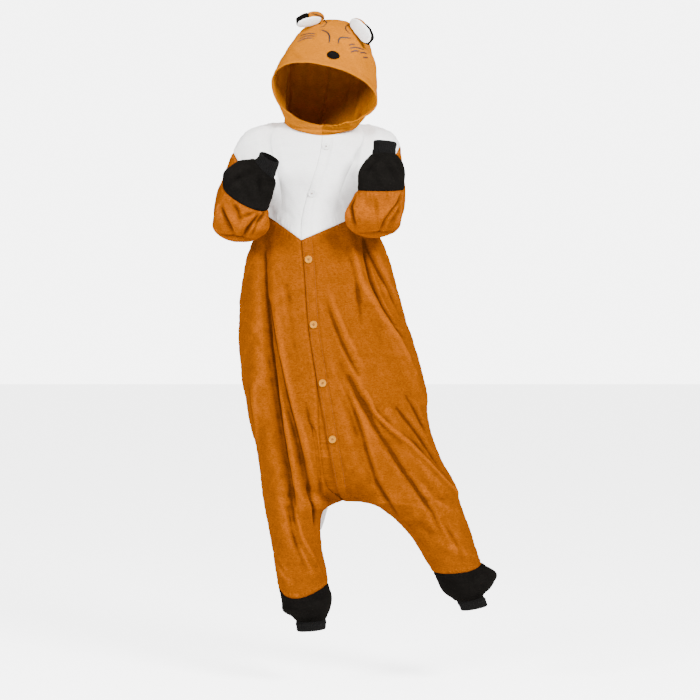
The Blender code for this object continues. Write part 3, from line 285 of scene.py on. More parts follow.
# Sleeves: centre of each ring, the half axis to its outer edge, and its half depth, in millimetres.
SLEEVES = {
    # centre x, y, z, outer half axis x, y, z, depth
    "near": metres(
        (-171.3, 0, -140, -41.3, 0, 80, 75),
        (-206, -72, -186, -43, 0, 12, 52),
        (-202, -108, -234, -51, 0, 10, 44),
        (-188, -144, -256, -65, 0, 6, 38),
        (-177, -190, -238, -64, 0, 18, 34),
        (-170, -198, -190, -55.5, 8, 30, 38),
        (-163, -190, -157, -59, 10, 30, 46),
        (-144, -193, -131, -46, 5, 29, 36),
        (-122, -200, -119, -21.5, 0, 22.5, 24),
        (-111, -210, -95, -23, 0, 12.5, 24),
    ),
    "far": metres(
        (166, 0, -130, 40, 0, 85, 75),
        (188, -78, -176, 28, 0, 8, 50),
        (168, -124, -220, 42, 0, 6, 43),
        (139, -165, -247, 64, 0, 0, 38),
        (136, -212, -228, 68, 0, 0, 34),
        (152, -219, -174, 56, 0, 0, 38),
        (155.5, -207, -137, 57, 0, 0, 46),
        (160, -203, -109, 49, 0, 0, 38),
        (161, -200, -84, 28.5, 0, -1, 24),
        (163.5, -199, -57, 29, 0, -3, 25),
    ),
}
SLEEVE_START = 0.008  # between rings, just clear of the armhole
WRIST_SEAM = 5  # ring where the black lower sleeve starts
WRIST_DIP = {"near": 0.022, "far": 0.009}  # how far that seam dips at the front
WRIST_RIB = 7.9
WRIST_HEM = 9


def paths(*rows, per_unit=1000):
    """Folds or creases from rows: half width and height outwards in millimetres, then each point of the path.

    The points are x and z in millimetres, or table positions where per_unit is 1.
    """
    made = []
    for half_width, high, *path in rows:
        points = [value / per_unit for value in path]
        made.append((tuple(zip(points[::2], points[1::2])), half_width / 1000, high / 1000))
    return tuple(made)


# Folds down the front and the back.
FOLDS_START = (-0.35, 0.1)  # between which rows they come in below the chest
FOLDS_END = (12.6, 11.4)  # between which rows they die out above the ankle seam
FOLDS_OFF_MIDDLE = (0.045, 0.12)  # shares of the half ring between which they come in off the centre line
FRONT_TO_BACK = (0.53, 0.47)  # shares between which the back's folds give way to the front's
FRONT_FOLDS = paths(
    (17, -16, -132, -280, -131, -360, -122, -550, -100, -780, -60, -970),
    (13, -10, -116, -450, -90, -620, -55, -780, -20, -920),
    (18, 8, -103, -300, -98, -450, -80, -620, -40, -800),
    (16, 10, -153, -620, -146, -760),
    (18, -22, 123, -290, 155, -400, 198, -490),
    (20, 13, 70, -260, 98, -380, 138, -450, 190, -540, 262, -680),
    (16, -10, 2, -380, 20, -510, 60, -600, 100, -670, 160, -730),
    (16, -10, 45, -600, 80, -710, 105, -810, 130, -870),
    (18, 12, 175, -710, 225, -800, 280, -870, 330, -910),
)
LEG_FOLDS = paths(
    (13, -9, -112, -630, -83, -830, -58, -960, -46, -1030),
    (12, -9, -70, -710, -38, -820, -15, -900),
    (12, 8, -38, -1050, -4, -1120),
    (12, 8, -95, -1080, -70, -1130),
    (14, -9, 200, -990, 250, -990, 310, -1030),
    (14, 9, 290, -1020, 390, -1070),
)
BACK_FOLDS = paths(
    (20, -12, -90, -260, -105, -450, -70, -700, -20, -860),
    (22, -13, 110, -260, 130, -450, 180, -660, 250, -840),
    (20, 9, -30, -300, -25, -500, 5, -660),
    (20, 10, 55, -320, 75, -520, 110, -700, 180, -860),
    (16, -10, -120, -700, -90, -900, -60, -1040),
    (18, -10, 150, -860, 260, -970, 340, -1030),
)

# Smaller creases, laid over the folds in the same way.
FRONT_CREASES = paths(
    (
        4.2, -8.5, -133, -316, -131, -385, -126, -463, -119, -538, -111, -603, -102, -676, -92, -749, -81, -818, -66,
        -879, -55, -939,
    ),
    (4.8, -7.5, -124, -434, -114, -482, -101, -536, -87, -598, -72, -669, -53, -741, -34, -822, -13, -915, -2, -981),
    (10, -3, -111, -519, -89, -640, -65, -761, -42, -872),
    (5, 3, -109, -470, -92, -555, -72, -627, -55, -688),
    (7, -5.5, -70, -398, -62, -458, -50, -543, -31, -622, -12, -687),
    (8, 3, -87, -342, -80, -410, -72, -487, -60, -555),
    (5, -2, -38, -391, -31, -434, -24, -478),
    (6.5, -7, -2, -362, 15, -415, 37, -478, 63, -543, 99, -611),
    (7, 3, 22, -396, 46, -458, 75, -526, 109, -589),
    (6.5, -5.5, 27, -562, 51, -610, 73, -656, 94, -705, 109, -751, 126, -814, 148, -889),
    (9, -7, 80, -620, 111, -681, 136, -732, 172, -788, 212, -848),
    (5, 8, 119, -656, 143, -708, 177, -745, 218, -781, 269, -833, 311, -876, 346, -913),
    (6, -7, 194, -696, 239, -751, 269, -793, 303, -844, 334, -884),
    (5, -5, 219, -670, 247, -715, 268, -755),
    (9, -11.5, 119, -280, 137, -376, 166, -447, 188, -491, 208, -518),
    (3.5, 4.5, 136, -330, 154, -383, 176, -440, 196, -484),
    (4.5, -7, 125, -285, 158, -354, 183, -407, 211, -473),
    (4, 3, 182, -486, 213, -506),
    (7, 6.5, 87, -312, 104, -392, 145, -462, 194, -531, 236, -612),
    (7, -5, 73, -300, 95, -392, 109, -490),
    (5, -5.5, -171, -639, -159, -695, -149, -752),
    (5, 3, -150, -641, -145, -707, -144, -769, -136, -865),
    (6, -3, 12, -434, 22, -507, 41, -584, 56, -656),
)
OPENING_CREASES = paths(  # on the near front, close beside the opening
    (6, -6.5, -26, -683, -19, -724, -7, -755, 3, -797, 6, -846, 8, -905),
    (7, 4, -38, -712, -28, -772, -16, -834, -7, -898),
)
LEG_CREASES = paths(
    (6, 5, -62, -914, -50, -967, -36, -1020, -11, -1069, 13, -1114),
    (6, -5.5, -77, -942, -65, -997, -48, -1049, -28, -1094),
    (4.5, -6.5, -11, -923, -6, -960, -4, -1006),
    (5, -4.5, -98, -1077, -73, -1112),
    (5, -3.5, -119, -1015, -112, -1079, -96, -1126),
    (7, -5.5, 145, -879, 178, -935, 209, -984),
    (7, -5.5, 177, -803, 232, -880, 283, -954, 318, -1034),
    (8, 3, 232, -856, 284, -923, 342, -958),
    (6, -4, 308, -972, 338, -1022, 358, -1072),
    (6, -3, -43, -1022, -23, -1072, -6, -1118),
)
BACK_CREASES = paths(
    (9, -4.5, -140, -300, -150, -420, -146, -560),
    (9, -3.5, -60, -280, -64, -420, -50, -580),
    (10, -3.5, 12, -340, 20, -460, 36, -560),
    (9, 3.5, 85, -300, 95, -420, 118, -540),
    (9, -5, 150, -300, 176, -440, 200, -560),
    (10, -4, 60, -600, 85, -700, 125, -790),
    (10, -4.5, 200, -620, 236, -740, 280, -840),
    (10, -4.5, -150, -620, -136, -760, -118, -880),
    (8, -4, -75, -860, -60, -960, -50, -1060),
    (9, -4, 120, -840, 190, -900, 260, -930),
    (7, -4, -100, -1030, -60, -1070, -15, -1085),
    (7, -4, 260, -1030, 310, -1050, 370, -1050),
)
# The chest's soft creases, seen from the front; the back above the underarm has the same ones.
CHEST_CALM = 0.15  # rows off the seams over which they come in
CHEST_CREASES = paths(
    (9, -4.5, 105, -35, 99, -80, 96, -130),
    (10, -4, -112, -45, -98, -85, -94, -135),
    (7, -2.2, -85, -215, -50, -240, -30, -262),
    (8, -2.2, 60, -200, 40, -230, 12, -245),
    (12, -2, -30, -95, -40, -140, -35, -190),
    (12, 2.2, 45, -90, 50, -130, 62, -170),
)
# Sleeve creases that are seen from the front.
SLEEVE_SEEN_FROM = (0.15, 0.55)  # how far the cloth faces the front where they come in
SLEEVE_SEEN = {
    "near": paths(
        (4.5, -11, -119, -225, -128, -241, -140, -256, -155, -280),
        (5, -12, -136, -236, -155, -258, -167, -273, -176, -287),
        (4, 5, -131, -246, -147, -265, -162, -282),
        (5.5, -11, -227, -217, -219, -239, -210, -258, -200, -277),
        (6, 5, -210, -232, -198, -251, -188, -270),
        (6, -5, -200, -203, -186, -227, -181, -248),
        (5.5, -4.5, -181, -241, -159, -234, -138, -227),
        (7, 3, -236, -186, -241, -215, -236, -246),
    ),
    "far": paths(
        (4.5, -10, 206, -181, 197, -207, 180, -227, 163, -248, 151, -277),
        (10, -10, 211, -203, 199, -231, 182, -255, 171, -279),
        (5.5, -9.5, 92, -181, 80, -212, 85, -245, 97, -277),
        (6, 3, 68, -212, 70, -231, 80, -250),
        (7, -3.5, 140, -198, 144, -227, 147, -260),
        (9, 2, 113, -193, 109, -227, 116, -260),
        (6, 3, 187, -212, 171, -231, 154, -250),
    ),
}
# Creases of both sleeves on their other sides: a path in turns and rings.
SLEEVE_CREASES = paths(
    (10, -6, 0.05, 1.2, 0.12, 2, 0.2, 2.6),
    (10, -6, 0.22, 1, 0.32, 1.8, 0.42, 2.2),
    (9, -5, 0.1, 3, 0.22, 3.4, 0.34, 3.3),
    (9, -5, 0.5, 1.6, 0.62, 1.8, 0.76, 1.6),
    (8, -4, 0.6, 4.2, 0.7, 4.4, 0.8, 4.2),
    (10, -4, 0.14, 5.6, 0.2, 6.2, 0.24, 7),
    (8, -4.5, 0.36, 5.9, 0.32, 6.6, 0.3, 7.3),
    (10, -3.5, 0.66, 5.7, 0.72, 6.4, 0.76, 7),
    (10, -3.5, 0.9, 5.7, 0.97, 6.4, 1.04, 7),
    per_unit=1,
)
# Hood creases: a path in turns round the face opening and loops back to the neck.
HOOD_CREASES = paths(
    (10, -3.5, 0.86, 0.1, 0.88, 0.8, 0.9, 1.6),
    (9, -4.5, 0.93, 0.1, 0.93, 1, 0.92, 2),
    (12, -3.5, 0.8, 0.9, 0.84, 1.7, 0.88, 2.6),
    (10, -3.5, 0.1, 0.2, 0.12, 1, 0.12, 1.9),
    (14, -2, 0.62, 0.9, 0.66, 1.3, 0.7, 1.9),
    (16, -2, 0.38, 0.3, 0.36, 1, 0.38, 1.8),
    (14, -6, 0.3, 2.3, 0.28, 3.2, 0.24, 4.3),
    (13, -5.5, 0.42, 2.5, 0.4, 3.4, 0.38, 4.6),
    (13, -5.5, 0.58, 2.5, 0.6, 3.4, 0.62, 4.6),
    (14, -6, 0.72, 2.3, 0.74, 3.2, 0.78, 4.3),
    (9, 3.5, 0.34, 3.6, 0.33, 4.2, 0.32, 4.9),
    (9, 3.5, 0.66, 3.6, 0.67, 4.2, 0.69, 4.9),
    per_unit=1,
)

# Padded pieces: centre of each ring, its half width and its half thickness, in millimetres, root first.
TAIL = metres(
    # x, y, z, wide, deep
    (18, 166, -655, 26, 24),
    (18, 200, -672, 33, 30),
    (10, 238, -740, 52, 46),
    (-2, 252, -820, 62, 54),
    (-10, 246, -895, 54, 48),
    (-10, 230, -960, 36, 33),
    (-3, 216, -1005, 16, 15),
    (1, 212, -1026, 4, 4),
)
TAIL_WIDE_WAY = (1.0, 0.0, 0.0)
TAIL_TIP = 4.3  # between rings, where the white tip starts
NEAR_EAR = metres(
    (10, -45, 252, 11, 5),
    (8, -50, 264, 11.5, 5.5),
    (-5, -62, 264, 18, 7),
    (-24, -71, 259, 21.5, 7.5),
    (-41, -75, 254, 17, 6),
    (-52, -77, 251, 11.5, 4),
)
NEAR_EAR_WIDE_WAY = (-0.1, -0.78, 0.62)
FAR_EAR = metres(
    (80, -42, 240, 11, 5),
    (85, -52, 252, 11.5, 5.5),
    (96, -74, 244, 17, 7),
    (110, -94, 227, 22.5, 7.5),
    (123, -104, 210, 20.5, 6),
    (132, -109, 197, 13, 4),
)
FAR_EAR_WIDE_WAY = (-0.37, 0.51, -0.78)
EARS = {"near": (NEAR_EAR, NEAR_EAR_WIDE_WAY), "far": (FAR_EAR, FAR_EAR_WIDE_WAY)}
EAR_TIP = 3.0  # ring where the black tip starts
EAR_INNER = {"near": (2, 6), "far": (1, 5)}  # columns of the ear that the white inner covers

# Buttons: height of each centre on the placket.
BUTTON_HEIGHTS = (-0.060, -0.180, -0.340, -0.495, -0.635, -0.770)
WHITE_BUTTONS = 2  # the ones on the white chest

# How the seams and hems show, in metres.
SEAM_DIP, SEAM_REACH = 0.0014, 0.0032  # the cloth rolls down into a seam
SEAM_ROLL, SEAM_ROLL_AT = 0.0006, 0.0075  # and stands up beside it
PUCKER, PUCKER_PITCH = 0.0005, 0.013
HEM_WIDTH, HEM_RISE, HEM_GROOVE = 0.014, 0.0011, 0.0009
HEM_STITCH, HEM_GROOVE_WIDTH = 0.003, 0.0013  # from the end of the turned cloth to its stitches, and their groove
HEM_SLOPE = (0.002, 0.001)  # how far beyond and within the turned cloth's end the cloth slopes down
HEM_ROUND = 0.003  # how far from the fold of the hem it is rounded
FOLD_END = 0.12  # how far up its arch a fold starts, so that it ends low
FAR_OFF = 9.0  # farther than any fold
UNEVEN = ((0.0011, 0.085), (0.0006, 0.034))  # height and length of the cloth's own unevenness
UNEVEN_WAYS = ((1.0, 0.3, 0.5), (-0.4, 1.0, 0.8), (0.5, -0.6, 1.0), (0.9, 0.7, -0.3))


def colour(name, description, default):
    return FloatVectorProperty(
        name=name, description=description, subtype="COLOR", size=3, default=default, min=0.0, max=1.0
    )


def length(name, description, default, **limits):
    return FloatProperty(name=name, description=description, unit="LENGTH", default=default, **limits)


class FoxCloth(bpy.types.PropertyGroup):
    """Sizes and colours of the fleece and the rib knit."""

    body_colour: colour("Body", "Orange fleece of the body, sleeves and tail", (0.170, 0.0405, 0.0009))
    hood_colour: colour("Hood", "Brighter orange fleece of the hood", (0.330, 0.100, 0.0003))
    white_colour: colour("White", "White fleece of the chest, ears and tail tip", (0.900, 0.890, 0.875))
    black_colour: colour("Black", "Black fleece of the lower sleeves and legs", (0.0038, 0.0034, 0.0030))
    rib_colour: colour("Rib", "Black rib knit of the cuffs", (0.0034, 0.0031, 0.0029))
    wall: length("Fleece wall", "Thickness of the fleece", 0.0025, min=0.001)
    rib_wall: length("Rib wall", "Thickness of the rib knit", 0.0022, min=0.001)
    curl: length("Curl", "Size of the fleece's curls", 0.0050, min=0.001)
    nap: length("Nap", "Height of the fleece's nap", 0.0011, min=0.0)
    fineness: IntProperty(
        name="Fineness", description="Grid cells to each column and row of the cut", default=8, min=1, max=12
    )
    front_fineness: IntProperty(
        name="Front fineness", description="Grid cells to each column of the creased front", default=12, min=1, max=12
    )
    rib_pitch: length("Rib pitch", "From one knit rib to the next", 0.0046, min=0.002)
    rib_height: length("Rib height", "Depth of the knit ribs", 0.0006, min=0.0)


class FoxTrims(bpy.types.PropertyGroup):
    """Sizes and colours of the buttons, the nose and the stitching."""

    button_radius: length("Button radius", "Radius of a button", 0.0092, min=0.004)
    button_height: length("Button height", "Thickness of a button", 0.0034, min=0.001)
    hole_radius: length("Hole radius", "Radius of a button's holes", 0.0011, min=0.0003)
    yellow_colour: colour("Yellow button", "Buttons on the orange front", (0.350, 0.135, 0.0004))
    pale_colour: colour("White button", "Buttons on the chest", (0.780, 0.780, 0.760))
    line_colour: colour("Eye thread", "Embroidery of the closed eyes", (0.012, 0.0035, 0.0015))
    whisker_colour: colour("Whisker thread", "Embroidery of the whiskers", (0.030, 0.005, 0.001))
    nose_wall: length("Nose", "Thickness of the nose patch", 0.002, min=0.001)
    ear_inner: length("Ear inner", "Thickness of the white inner ear", 0.002, min=0.001)
    stitch: length("Stitch", "Length of a topstitch with its gap", 0.0036, min=0.002)
    thread: length("Thread", "Radius of the sewing thread", 0.00038, min=0.0001)


class FoxStage(bpy.types.PropertyGroup):
    """Camera, floor and studio light."""

    lens: FloatProperty(name="Lens", description="Focal length in millimetres", default=92.6, min=10.0)
    distance: length("Camera distance", "From the camera to the garment", 4.5, min=1.0)
    aim_x: length("Aim across", "Camera's place across", 0.08)
    aim_z: length("Aim height", "Camera's height", -0.555)
    floor_level: length("Floor", "Height of the floor below the neck", -1.40)
    floor_colour: colour("Floor colour", "Pale studio floor", (0.900, 0.900, 0.900))
    floor_glow: FloatProperty(name="Floor glow", description="Light of the white floor", default=0.5, min=0.0)
    floor_seen: FloatProperty(name="Floor seen", description="How bright that light shows", default=4.0, min=0.0)
    surround: FloatProperty(name="Surround", description="Light of the white surround", default=0.56, min=0.0)
    backdrop: FloatProperty(name="Backdrop", description="How bright the surround shows", default=6.0, min=0.0)
    key: FloatProperty(name="Key light", description="Soft light from the right", unit="POWER", default=540.0)
    fill: FloatProperty(name="Fill light", description="Soft light from the left", unit="POWER", default=312.0)


def smooth(start, end, value):
    """0 before start, 1 after end, and an even S between them."""
    share = np.clip((value - start) / (end - start), 0.0, 1.0)
    return share * share * (3.0 - 2.0 * share)


def read(rows, at):
    """The rows of a table as a smooth curve through them; at runs from 0 to the last row's number.

    rows is one table for every at, or has a table for each at after its first axis.
    """
    rows, at = np.asarray(rows, float), np.asarray(at, float)
    ends = np.concatenate((2 * rows[:1] - rows[1:2], rows, 2 * rows[-1:] - rows[-2:-1]))
    at = np.clip(at, 0.0, len(rows) - 1.0)
    row = np.minimum(at.astype(int), len(rows) - 2)
    share = (at - row)[..., None]

    def pick(step):
        if rows.ndim == 2:
            return ends[row + step]
        return np.take_along_axis(ends, (row + step)[None, ..., None], axis=0)[0]

    before, first, second, after = (pick(step) for step in range(4))
    slope_in, slope_out = (second - before) / 2, (after - first) / 2
    return (
        first
        + share * slope_in
        + share**2 * (3 * (second - first) - 2 * slope_in - slope_out)
        + share**3 * (2 * (first - second) + slope_in + slope_out)
    )


def unit(vectors):
    return vectors / np.maximum(np.linalg.norm(vectors, axis=-1, keepdims=True), 1e-12)


def loop_through(low, left, top, right, turn, square):
    """A smooth closed loop through four points, turn 0 at low, 0.25 at left, 0.5 at top."""
    angle = 2 * math.pi * np.asarray(turn, float)[..., None]
    centre = (low + left + top + right) / 4
    tall, wide = (low - top) / 2, (left - right) / 2
    skew = (low + top - left - right) / 4
    up = (np.cos(angle) - square * np.cos(3 * angle)) / (1.0 - square)
    aside = (np.sin(angle) + square * np.sin(3 * angle)) / (1.0 - square)
    return centre + tall * up + wide * aside + skew * np.cos(2 * angle)


def hood(turn, at):
    """Point of the hood: turn goes round the face opening, at goes from its rim to the neck seam."""
    points = read(HOOD_LOOPS, at)
    square = HOOD_SQUARE * np.sin(np.pi * np.asarray(at, float) / NECK_SEAM)[..., None]
    return loop_through(*(points[..., 3 * i : 3 * i + 3] for i in range(4)), turn, square)


def fold_height(folds, points):
    """Height of the folds at some points; a fold's path is in the same two or three coordinates."""
    height = np.zeros(points.shape[:-1])
    for path, half_width, high in folds:
        path = np.asarray(path, float)
        steps = np.linalg.norm(np.diff(path, axis=0), axis=1)
        lengths = np.concatenate(((0.0,), np.cumsum(steps)))
        nearest, along = np.full(height.shape, FAR_OFF), np.zeros(height.shape)
        for start, end, before, step in zip(path[:-1], path[1:], lengths, steps):
            way = (end - start) / step
            reach = np.clip((points - start) @ way, 0.0, step)
            off = np.linalg.norm(points - start - reach[..., None] * way, axis=-1)
            closer = off < nearest
            nearest = np.where(closer, off, nearest)
            along = np.where(closer, before + reach, along)
        arch = np.sin(np.pi * (FOLD_END + (1.0 - 2 * FOLD_END) * along / lengths[-1]))
        height += high * np.exp(-((nearest / half_width) ** 2)) * arch
    return height


def creases_on(surface, creases):
    """Creases whose paths are table positions, with their paths as smooth lines in space."""
    placed = []
    for path, half_width, high in creases:
        at = read(path, np.linspace(0.0, len(path) - 1.0, CREASE_POINTS))
        placed.append((surface(at[:, 0], at[:, 1]), half_width, high))
    return placed


def lower_body(side, share, at):
    """Point of a half of the body and its leg: share runs from centre front round to centre back."""
    table = BODY_HALVES[side]
    whole, above, below = read(table, at), read(table[: CROTCH + 1], at), read(table[CROTCH:], at - CROTCH)
    parted = np.where((np.asarray(at) <= CROTCH)[..., None], above, below)  # the halves part at the crotch
    value = {
        name: (whole if name.startswith("side") else parted)[..., i] for i, name in enumerate(BODY_COLUMNS)
    }
    start = (1.0 - np.clip(value["wrap"], 0.0, 1.0)) * math.pi / 2
    angle = start + (2 * math.pi - 2 * start) * share
    out = (np.cos(start) - np.cos(angle)) / (1.0 + np.cos(start))
    at_front = share <= 0.5
    nearest = np.minimum(share, 1.0 - share)
    inner_x = np.where(at_front, value["front_x"], value["back_x"])
    inner_z = np.where(at_front, value["front_z"], value["back_z"])
    deep = np.where(at_front, value["front"], value["back"])
    x = inner_x + (value["side_x"] - inner_x) * out
    drawn_in = (np.sin(start) - np.clip(value["spread"], 0.0, 1.0)) * smooth(CROTCH_SHARE, 0.0, nearest)
    y = value["mid"] - np.where(at_front, 1.0, -1.0) * deep * (np.abs(np.sin(angle)) - drawn_in)
    z = inner_z + (value["side_z"] - inner_z) * out
    near_seam = np.exp(-(((at - ANKLE_SEAM) / ANKLE_DIP_ROWS) ** 2))
    z = z - ANKLE_DIP[side] * near_seam * np.sin(np.pi * share) * np.abs(np.sin(angle))
    return np.stack((x, y, z), axis=-1)


def shoulder(side, share):
    """Point of the shoulder seam, from the side of the neck to the armhole's top."""
    turn = 0.25 if side == "near" else 0.75
    middle = [(x, 0.0, z) for x, z in SHOULDERS[side]]
    ends = hood(np.array(turn), np.array(float(NECK_SEAM))), armhole(side, np.array(0.0))
    return read(np.vstack((ends[0], middle, ends[1])), share * (len(middle) + 1))


def armhole(side, turn):
    """Point of the armhole, turn 0 at its top, positive down the back and negative down the front."""
    ring = SLEEVES[side][0]
    angle = 2 * math.pi * np.asarray(turn, float)[..., None]
    return ring[0:3] + ring[3:6] * np.cos(angle) + np.array((0.0, ring[6], 0.0)) * np.sin(angle)


def below_neck_corner(near):
    """1 below the side of the neck and 0 at the centre line and on the shoulder."""
    return smooth(0.0, NECK_SHARE, near) * smooth(LEVEL_SHARE, NECK_SHARE, near)


def top_edge(side, share, at_front):
    """The neck seam and the shoulder seam of a half, and the way the cloth leaves them."""
    near = np.where(at_front, share, 1.0 - share)
    quarter = 0.25 * np.minimum(near / NECK_SHARE, 1.0)
    turn = np.where(at_front, quarter, 0.5 - quarter)
    turn = turn if side == "near" else 1.0 - turn
    neck = hood(turn, np.full_like(turn, float(NECK_SEAM)))
    seam = shoulder(side, np.clip((near - NECK_SHARE) / (0.5 - NECK_SHARE), 0.0, 1.0))
    points = np.where((near < NECK_SHARE)[..., None], neck, seam)
    steep, middling, flat = (math.radians(angle) for angle in TOP_SLOPES)
    slope = steep - (steep - middling) * smooth(0.0, NECK_SHARE, near)
    slope = slope - (middling - flat) * smooth(NECK_SHARE, LEVEL_SHARE, near)
    outward = -1.0 if side == "near" else 1.0
    swing = math.radians(NECK_SWING) * below_neck_corner(near)
    across = outward * np.cos(slope) * np.sin(swing)
    forward = np.where(at_front, -1.0, 1.0) * np.cos(slope) * np.cos(swing)
    return points, np.stack((across, forward, -np.sin(slope)), axis=-1)


def drape(side, share, down, at_front):
    """Cloth hanging smoothly from the neck and shoulder seams to the underarm row."""
    top, top_way = top_edge(side, share, at_front)
    low = lower_body(side, share, np.zeros_like(share))
    low_way = unit(lower_body(side, share, np.full_like(share, 0.02)) - low)
    fuller = below_neck_corner(np.where(at_front, share, 1.0 - share))[..., None]
    full, more = DRAPE_REACH
    reach = np.linalg.norm(low - top, axis=-1, keepdims=True) * (full + more * fuller)
    t = down[..., None]
    return (
        (2 * t**3 - 3 * t**2 + 1) * top
        + (t**3 - 2 * t**2 + t) * reach * top_way
        + (3 * t**2 - 2 * t**3) * low
        + (t**3 - t**2) * reach * low_way
    )


def upper_body(side, share, down):
    """Point of the body above the underarm: down is 0 at the neck and shoulder, 1 at the underarm row."""
    at_front = share <= SIDE_FRONT
    edge = armhole(side, np.where(at_front, -0.5, 0.5) * down)
    off_edge = edge - drape(side, np.full_like(share, 0.5), down, at_front)
    pull = smooth(ARMHOLE_PULL, 0.5, np.where(at_front, share, 1.0 - share))[..., None]
    return drape(side, share, down, at_front) + pull * off_edge


def body_form(side, share, at):
    """Point of the body without folds; at runs from -1 at the neck through 0 at the underarm to the hem."""
    share, at = np.broadcast_arrays(np.asarray(share, float), np.asarray(at, float))
    upper = upper_body(side, share, np.clip(at + 1.0, 0.0, 1.0))
    lower = lower_body(side, share, np.maximum(at, 0.0))
    return np.where((at < 0.0)[..., None], upper, lower)


def frame_at(surface, u, v, limits):
    """How a surface runs along u and along v and its normal, by small steps that stay within its limits."""
    step = 0.002
    u_low, u_high, v_low, v_high = limits(u, v)
    along = surface(np.minimum(u + step, u_high), v) - surface(np.maximum(u - step, u_low), v)
    down = surface(u, np.minimum(v + step, v_high)) - surface(u, np.maximum(v - step, v_low))
    return unit(along), unit(down), unit(np.cross(along, down))


def tube_limits(last):
    """Limits of a closed tube with its last row: a step may cross its seam and not its ends."""
    return lambda turn, at: (turn - 1.0, turn + 1.0, np.zeros_like(at), np.full_like(at, float(last)))


def body_limits(share, at):
    """A step across the side seam is fine below the underarm, and not across the armhole above it."""
    upper, at_back = at < 0.0, share > SIDE_FRONT
    return (
        np.where(upper & at_back, SIDE_BACK, 0.0),
        np.where(upper & ~at_back, SIDE_FRONT, 1.0),
        np.where(upper, -1.0, 0.0),
        np.where(upper, 0.0, float(LEG_HEM)),
    )


def body_frame(side, surface, share, at):
    """frame_at for the body, with one normal at each seam for the pieces that meet there."""
    handed = 1.0 if side == "near" else -1.0
    along, down, _ = frame_at(surface, share, at, body_limits)
    step = np.full_like(share, 0.004)
    round_leg = unit(surface(step, at) - surface(1.0 - step, at))
    across = np.zeros_like(along)
    across[..., 0] = np.where(share < 0.5, -handed, handed)
    leg = smooth(CROTCH - 0.5, CROTCH + 0.5, at)[..., None]
    on_middle = (np.minimum(share, 1.0 - share) < 1e-5)[..., None]
    along = np.where(on_middle, unit(across * (1.0 - leg) + round_leg * leg), along)
    normal = handed * np.cross(along, down)
    on_shoulder = (at < -1.0 + 1e-5) & (np.minimum(share, 1.0 - share) > NECK_SHARE - 1e-5)
    normal[..., 1] = np.where(on_shoulder, 0.0, normal[..., 1])
    at_crotch = on_middle[..., 0] & (np.abs(at - CROTCH) < 1e-5)
    normal = np.where(at_crotch[..., None], np.array((0.0, 0.0, -1.0)), normal)
    return along, down, unit(normal)


def body(side, share, at):
    """Point of the body with its folds."""
    share, at = np.broadcast_arrays(np.asarray(share, float), np.asarray(at, float))
    share = np.clip(share, 0.0, 1.0)
    form = body_form(side, share, at)
    seen = form[..., (0, 2)]
    at_front = smooth(*FRONT_TO_BACK, share)
    below, above_hem = smooth(*FOLDS_START, at), smooth(*FOLDS_END, at)
    off_edge = smooth(*FOLDS_OFF_MIDDLE, np.minimum(share, 1.0 - share))
    front = fold_height(FRONT_FOLDS + LEG_FOLDS + FRONT_CREASES + LEG_CREASES, seen)
    back = fold_height(BACK_FOLDS + BACK_CREASES, seen)
    height = (front * at_front + back * (1.0 - at_front)) * below * above_hem * off_edge
    if side == "near":
        height += fold_height(OPENING_CREASES, seen) * at_front * smooth(*OPENING_EDGE, share)
    on_chest = smooth(0.0, -CHEST_CALM, at) * smooth(-1.0, CHEST_CALM - 1.0, at)
    height += fold_height(CHEST_CREASES, seen) * on_chest * off_edge
    _, _, normal = body_frame(side, lambda u, v: body_form(side, u, v), share, at)
    return form + height[..., None] * normal


def sleeve_ring(table, ring, turn):
    """Point of one ring of a sleeve: turn 0 on its outer edge, 0.75 at the front of the armhole."""
    centre, outer, depth = table[ring, 0:3], table[ring, 3:6], table[ring, 6]
    travel = table[min(ring + 1, len(table) - 1), 0:3] - table[max(ring - 1, 0), 0:3]
    deep = unit(np.cross(travel, outer)) * np.sign(-table[0, 0]) if ring else np.array((0.0, 1.0, 0.0))
    angle = 2 * math.pi * turn[..., None]
    return centre + outer * np.cos(angle) + deep * depth * np.sin(angle)


def sleeve(side, turn, at):
    """Point of a sleeve: at runs from the armhole to the wrist."""
    table = SLEEVES[side]
    turn, at = np.broadcast_arrays(np.asarray(turn, float), np.asarray(at, float))
    rings = np.stack([sleeve_ring(table, ring, turn) for ring in range(len(table))])
    points = read(rings, at)
    at_front = np.clip(np.sin(2 * math.pi * turn), 0.0, 1.0)  # the forearm turns its other side to the front
    points[..., 2] -= WRIST_DIP[side] * np.exp(-((at - WRIST_SEAM) ** 2)) * at_front
    return points


def lengths_along(points):
    """The length along a line of points to each of them."""
    return np.concatenate(((0.0,), np.cumsum(np.linalg.norm(np.diff(points, axis=0), axis=1))))


def values_along(places, lengths, values):
    """Rows of values read at some lengths along a line."""
    return np.stack([np.interp(places, lengths, column) for column in values.T], axis=-1)


def evenly(curve, start, end, count):
    """Table positions from start to end that are evenly spaced along a curve in space."""
    at = np.linspace(start, end, LINE_STEPS)
    lengths = lengths_along(curve(at))
    return np.interp(np.linspace(0.0, lengths[-1], count + 1), lengths, at)


def body_rows(side, start, end, count):
    return evenly(lambda at: lower_body(side, np.full_like(at, 0.25), at), start, end, count)


def first_column_share(at):
    """Share of the far half's ring that the placket covers: the first column of the grid."""
    row = read(BODY_HALVES["far"], np.clip(at, 0.0, PLACKET_END))
    half_width = row[..., BODY_COLUMNS.index("side_x")] - row[..., BODY_COLUMNS.index("front_x")]
    band = PLACKET_WIDTH / (np.pi * half_width)
    below_neck, above_crotch = smooth(-1.0, 0.0, at), smooth(CROTCH, PLACKET_END, at)
    return FIRST_COLUMN + (band - FIRST_COLUMN) * below_neck * above_crotch


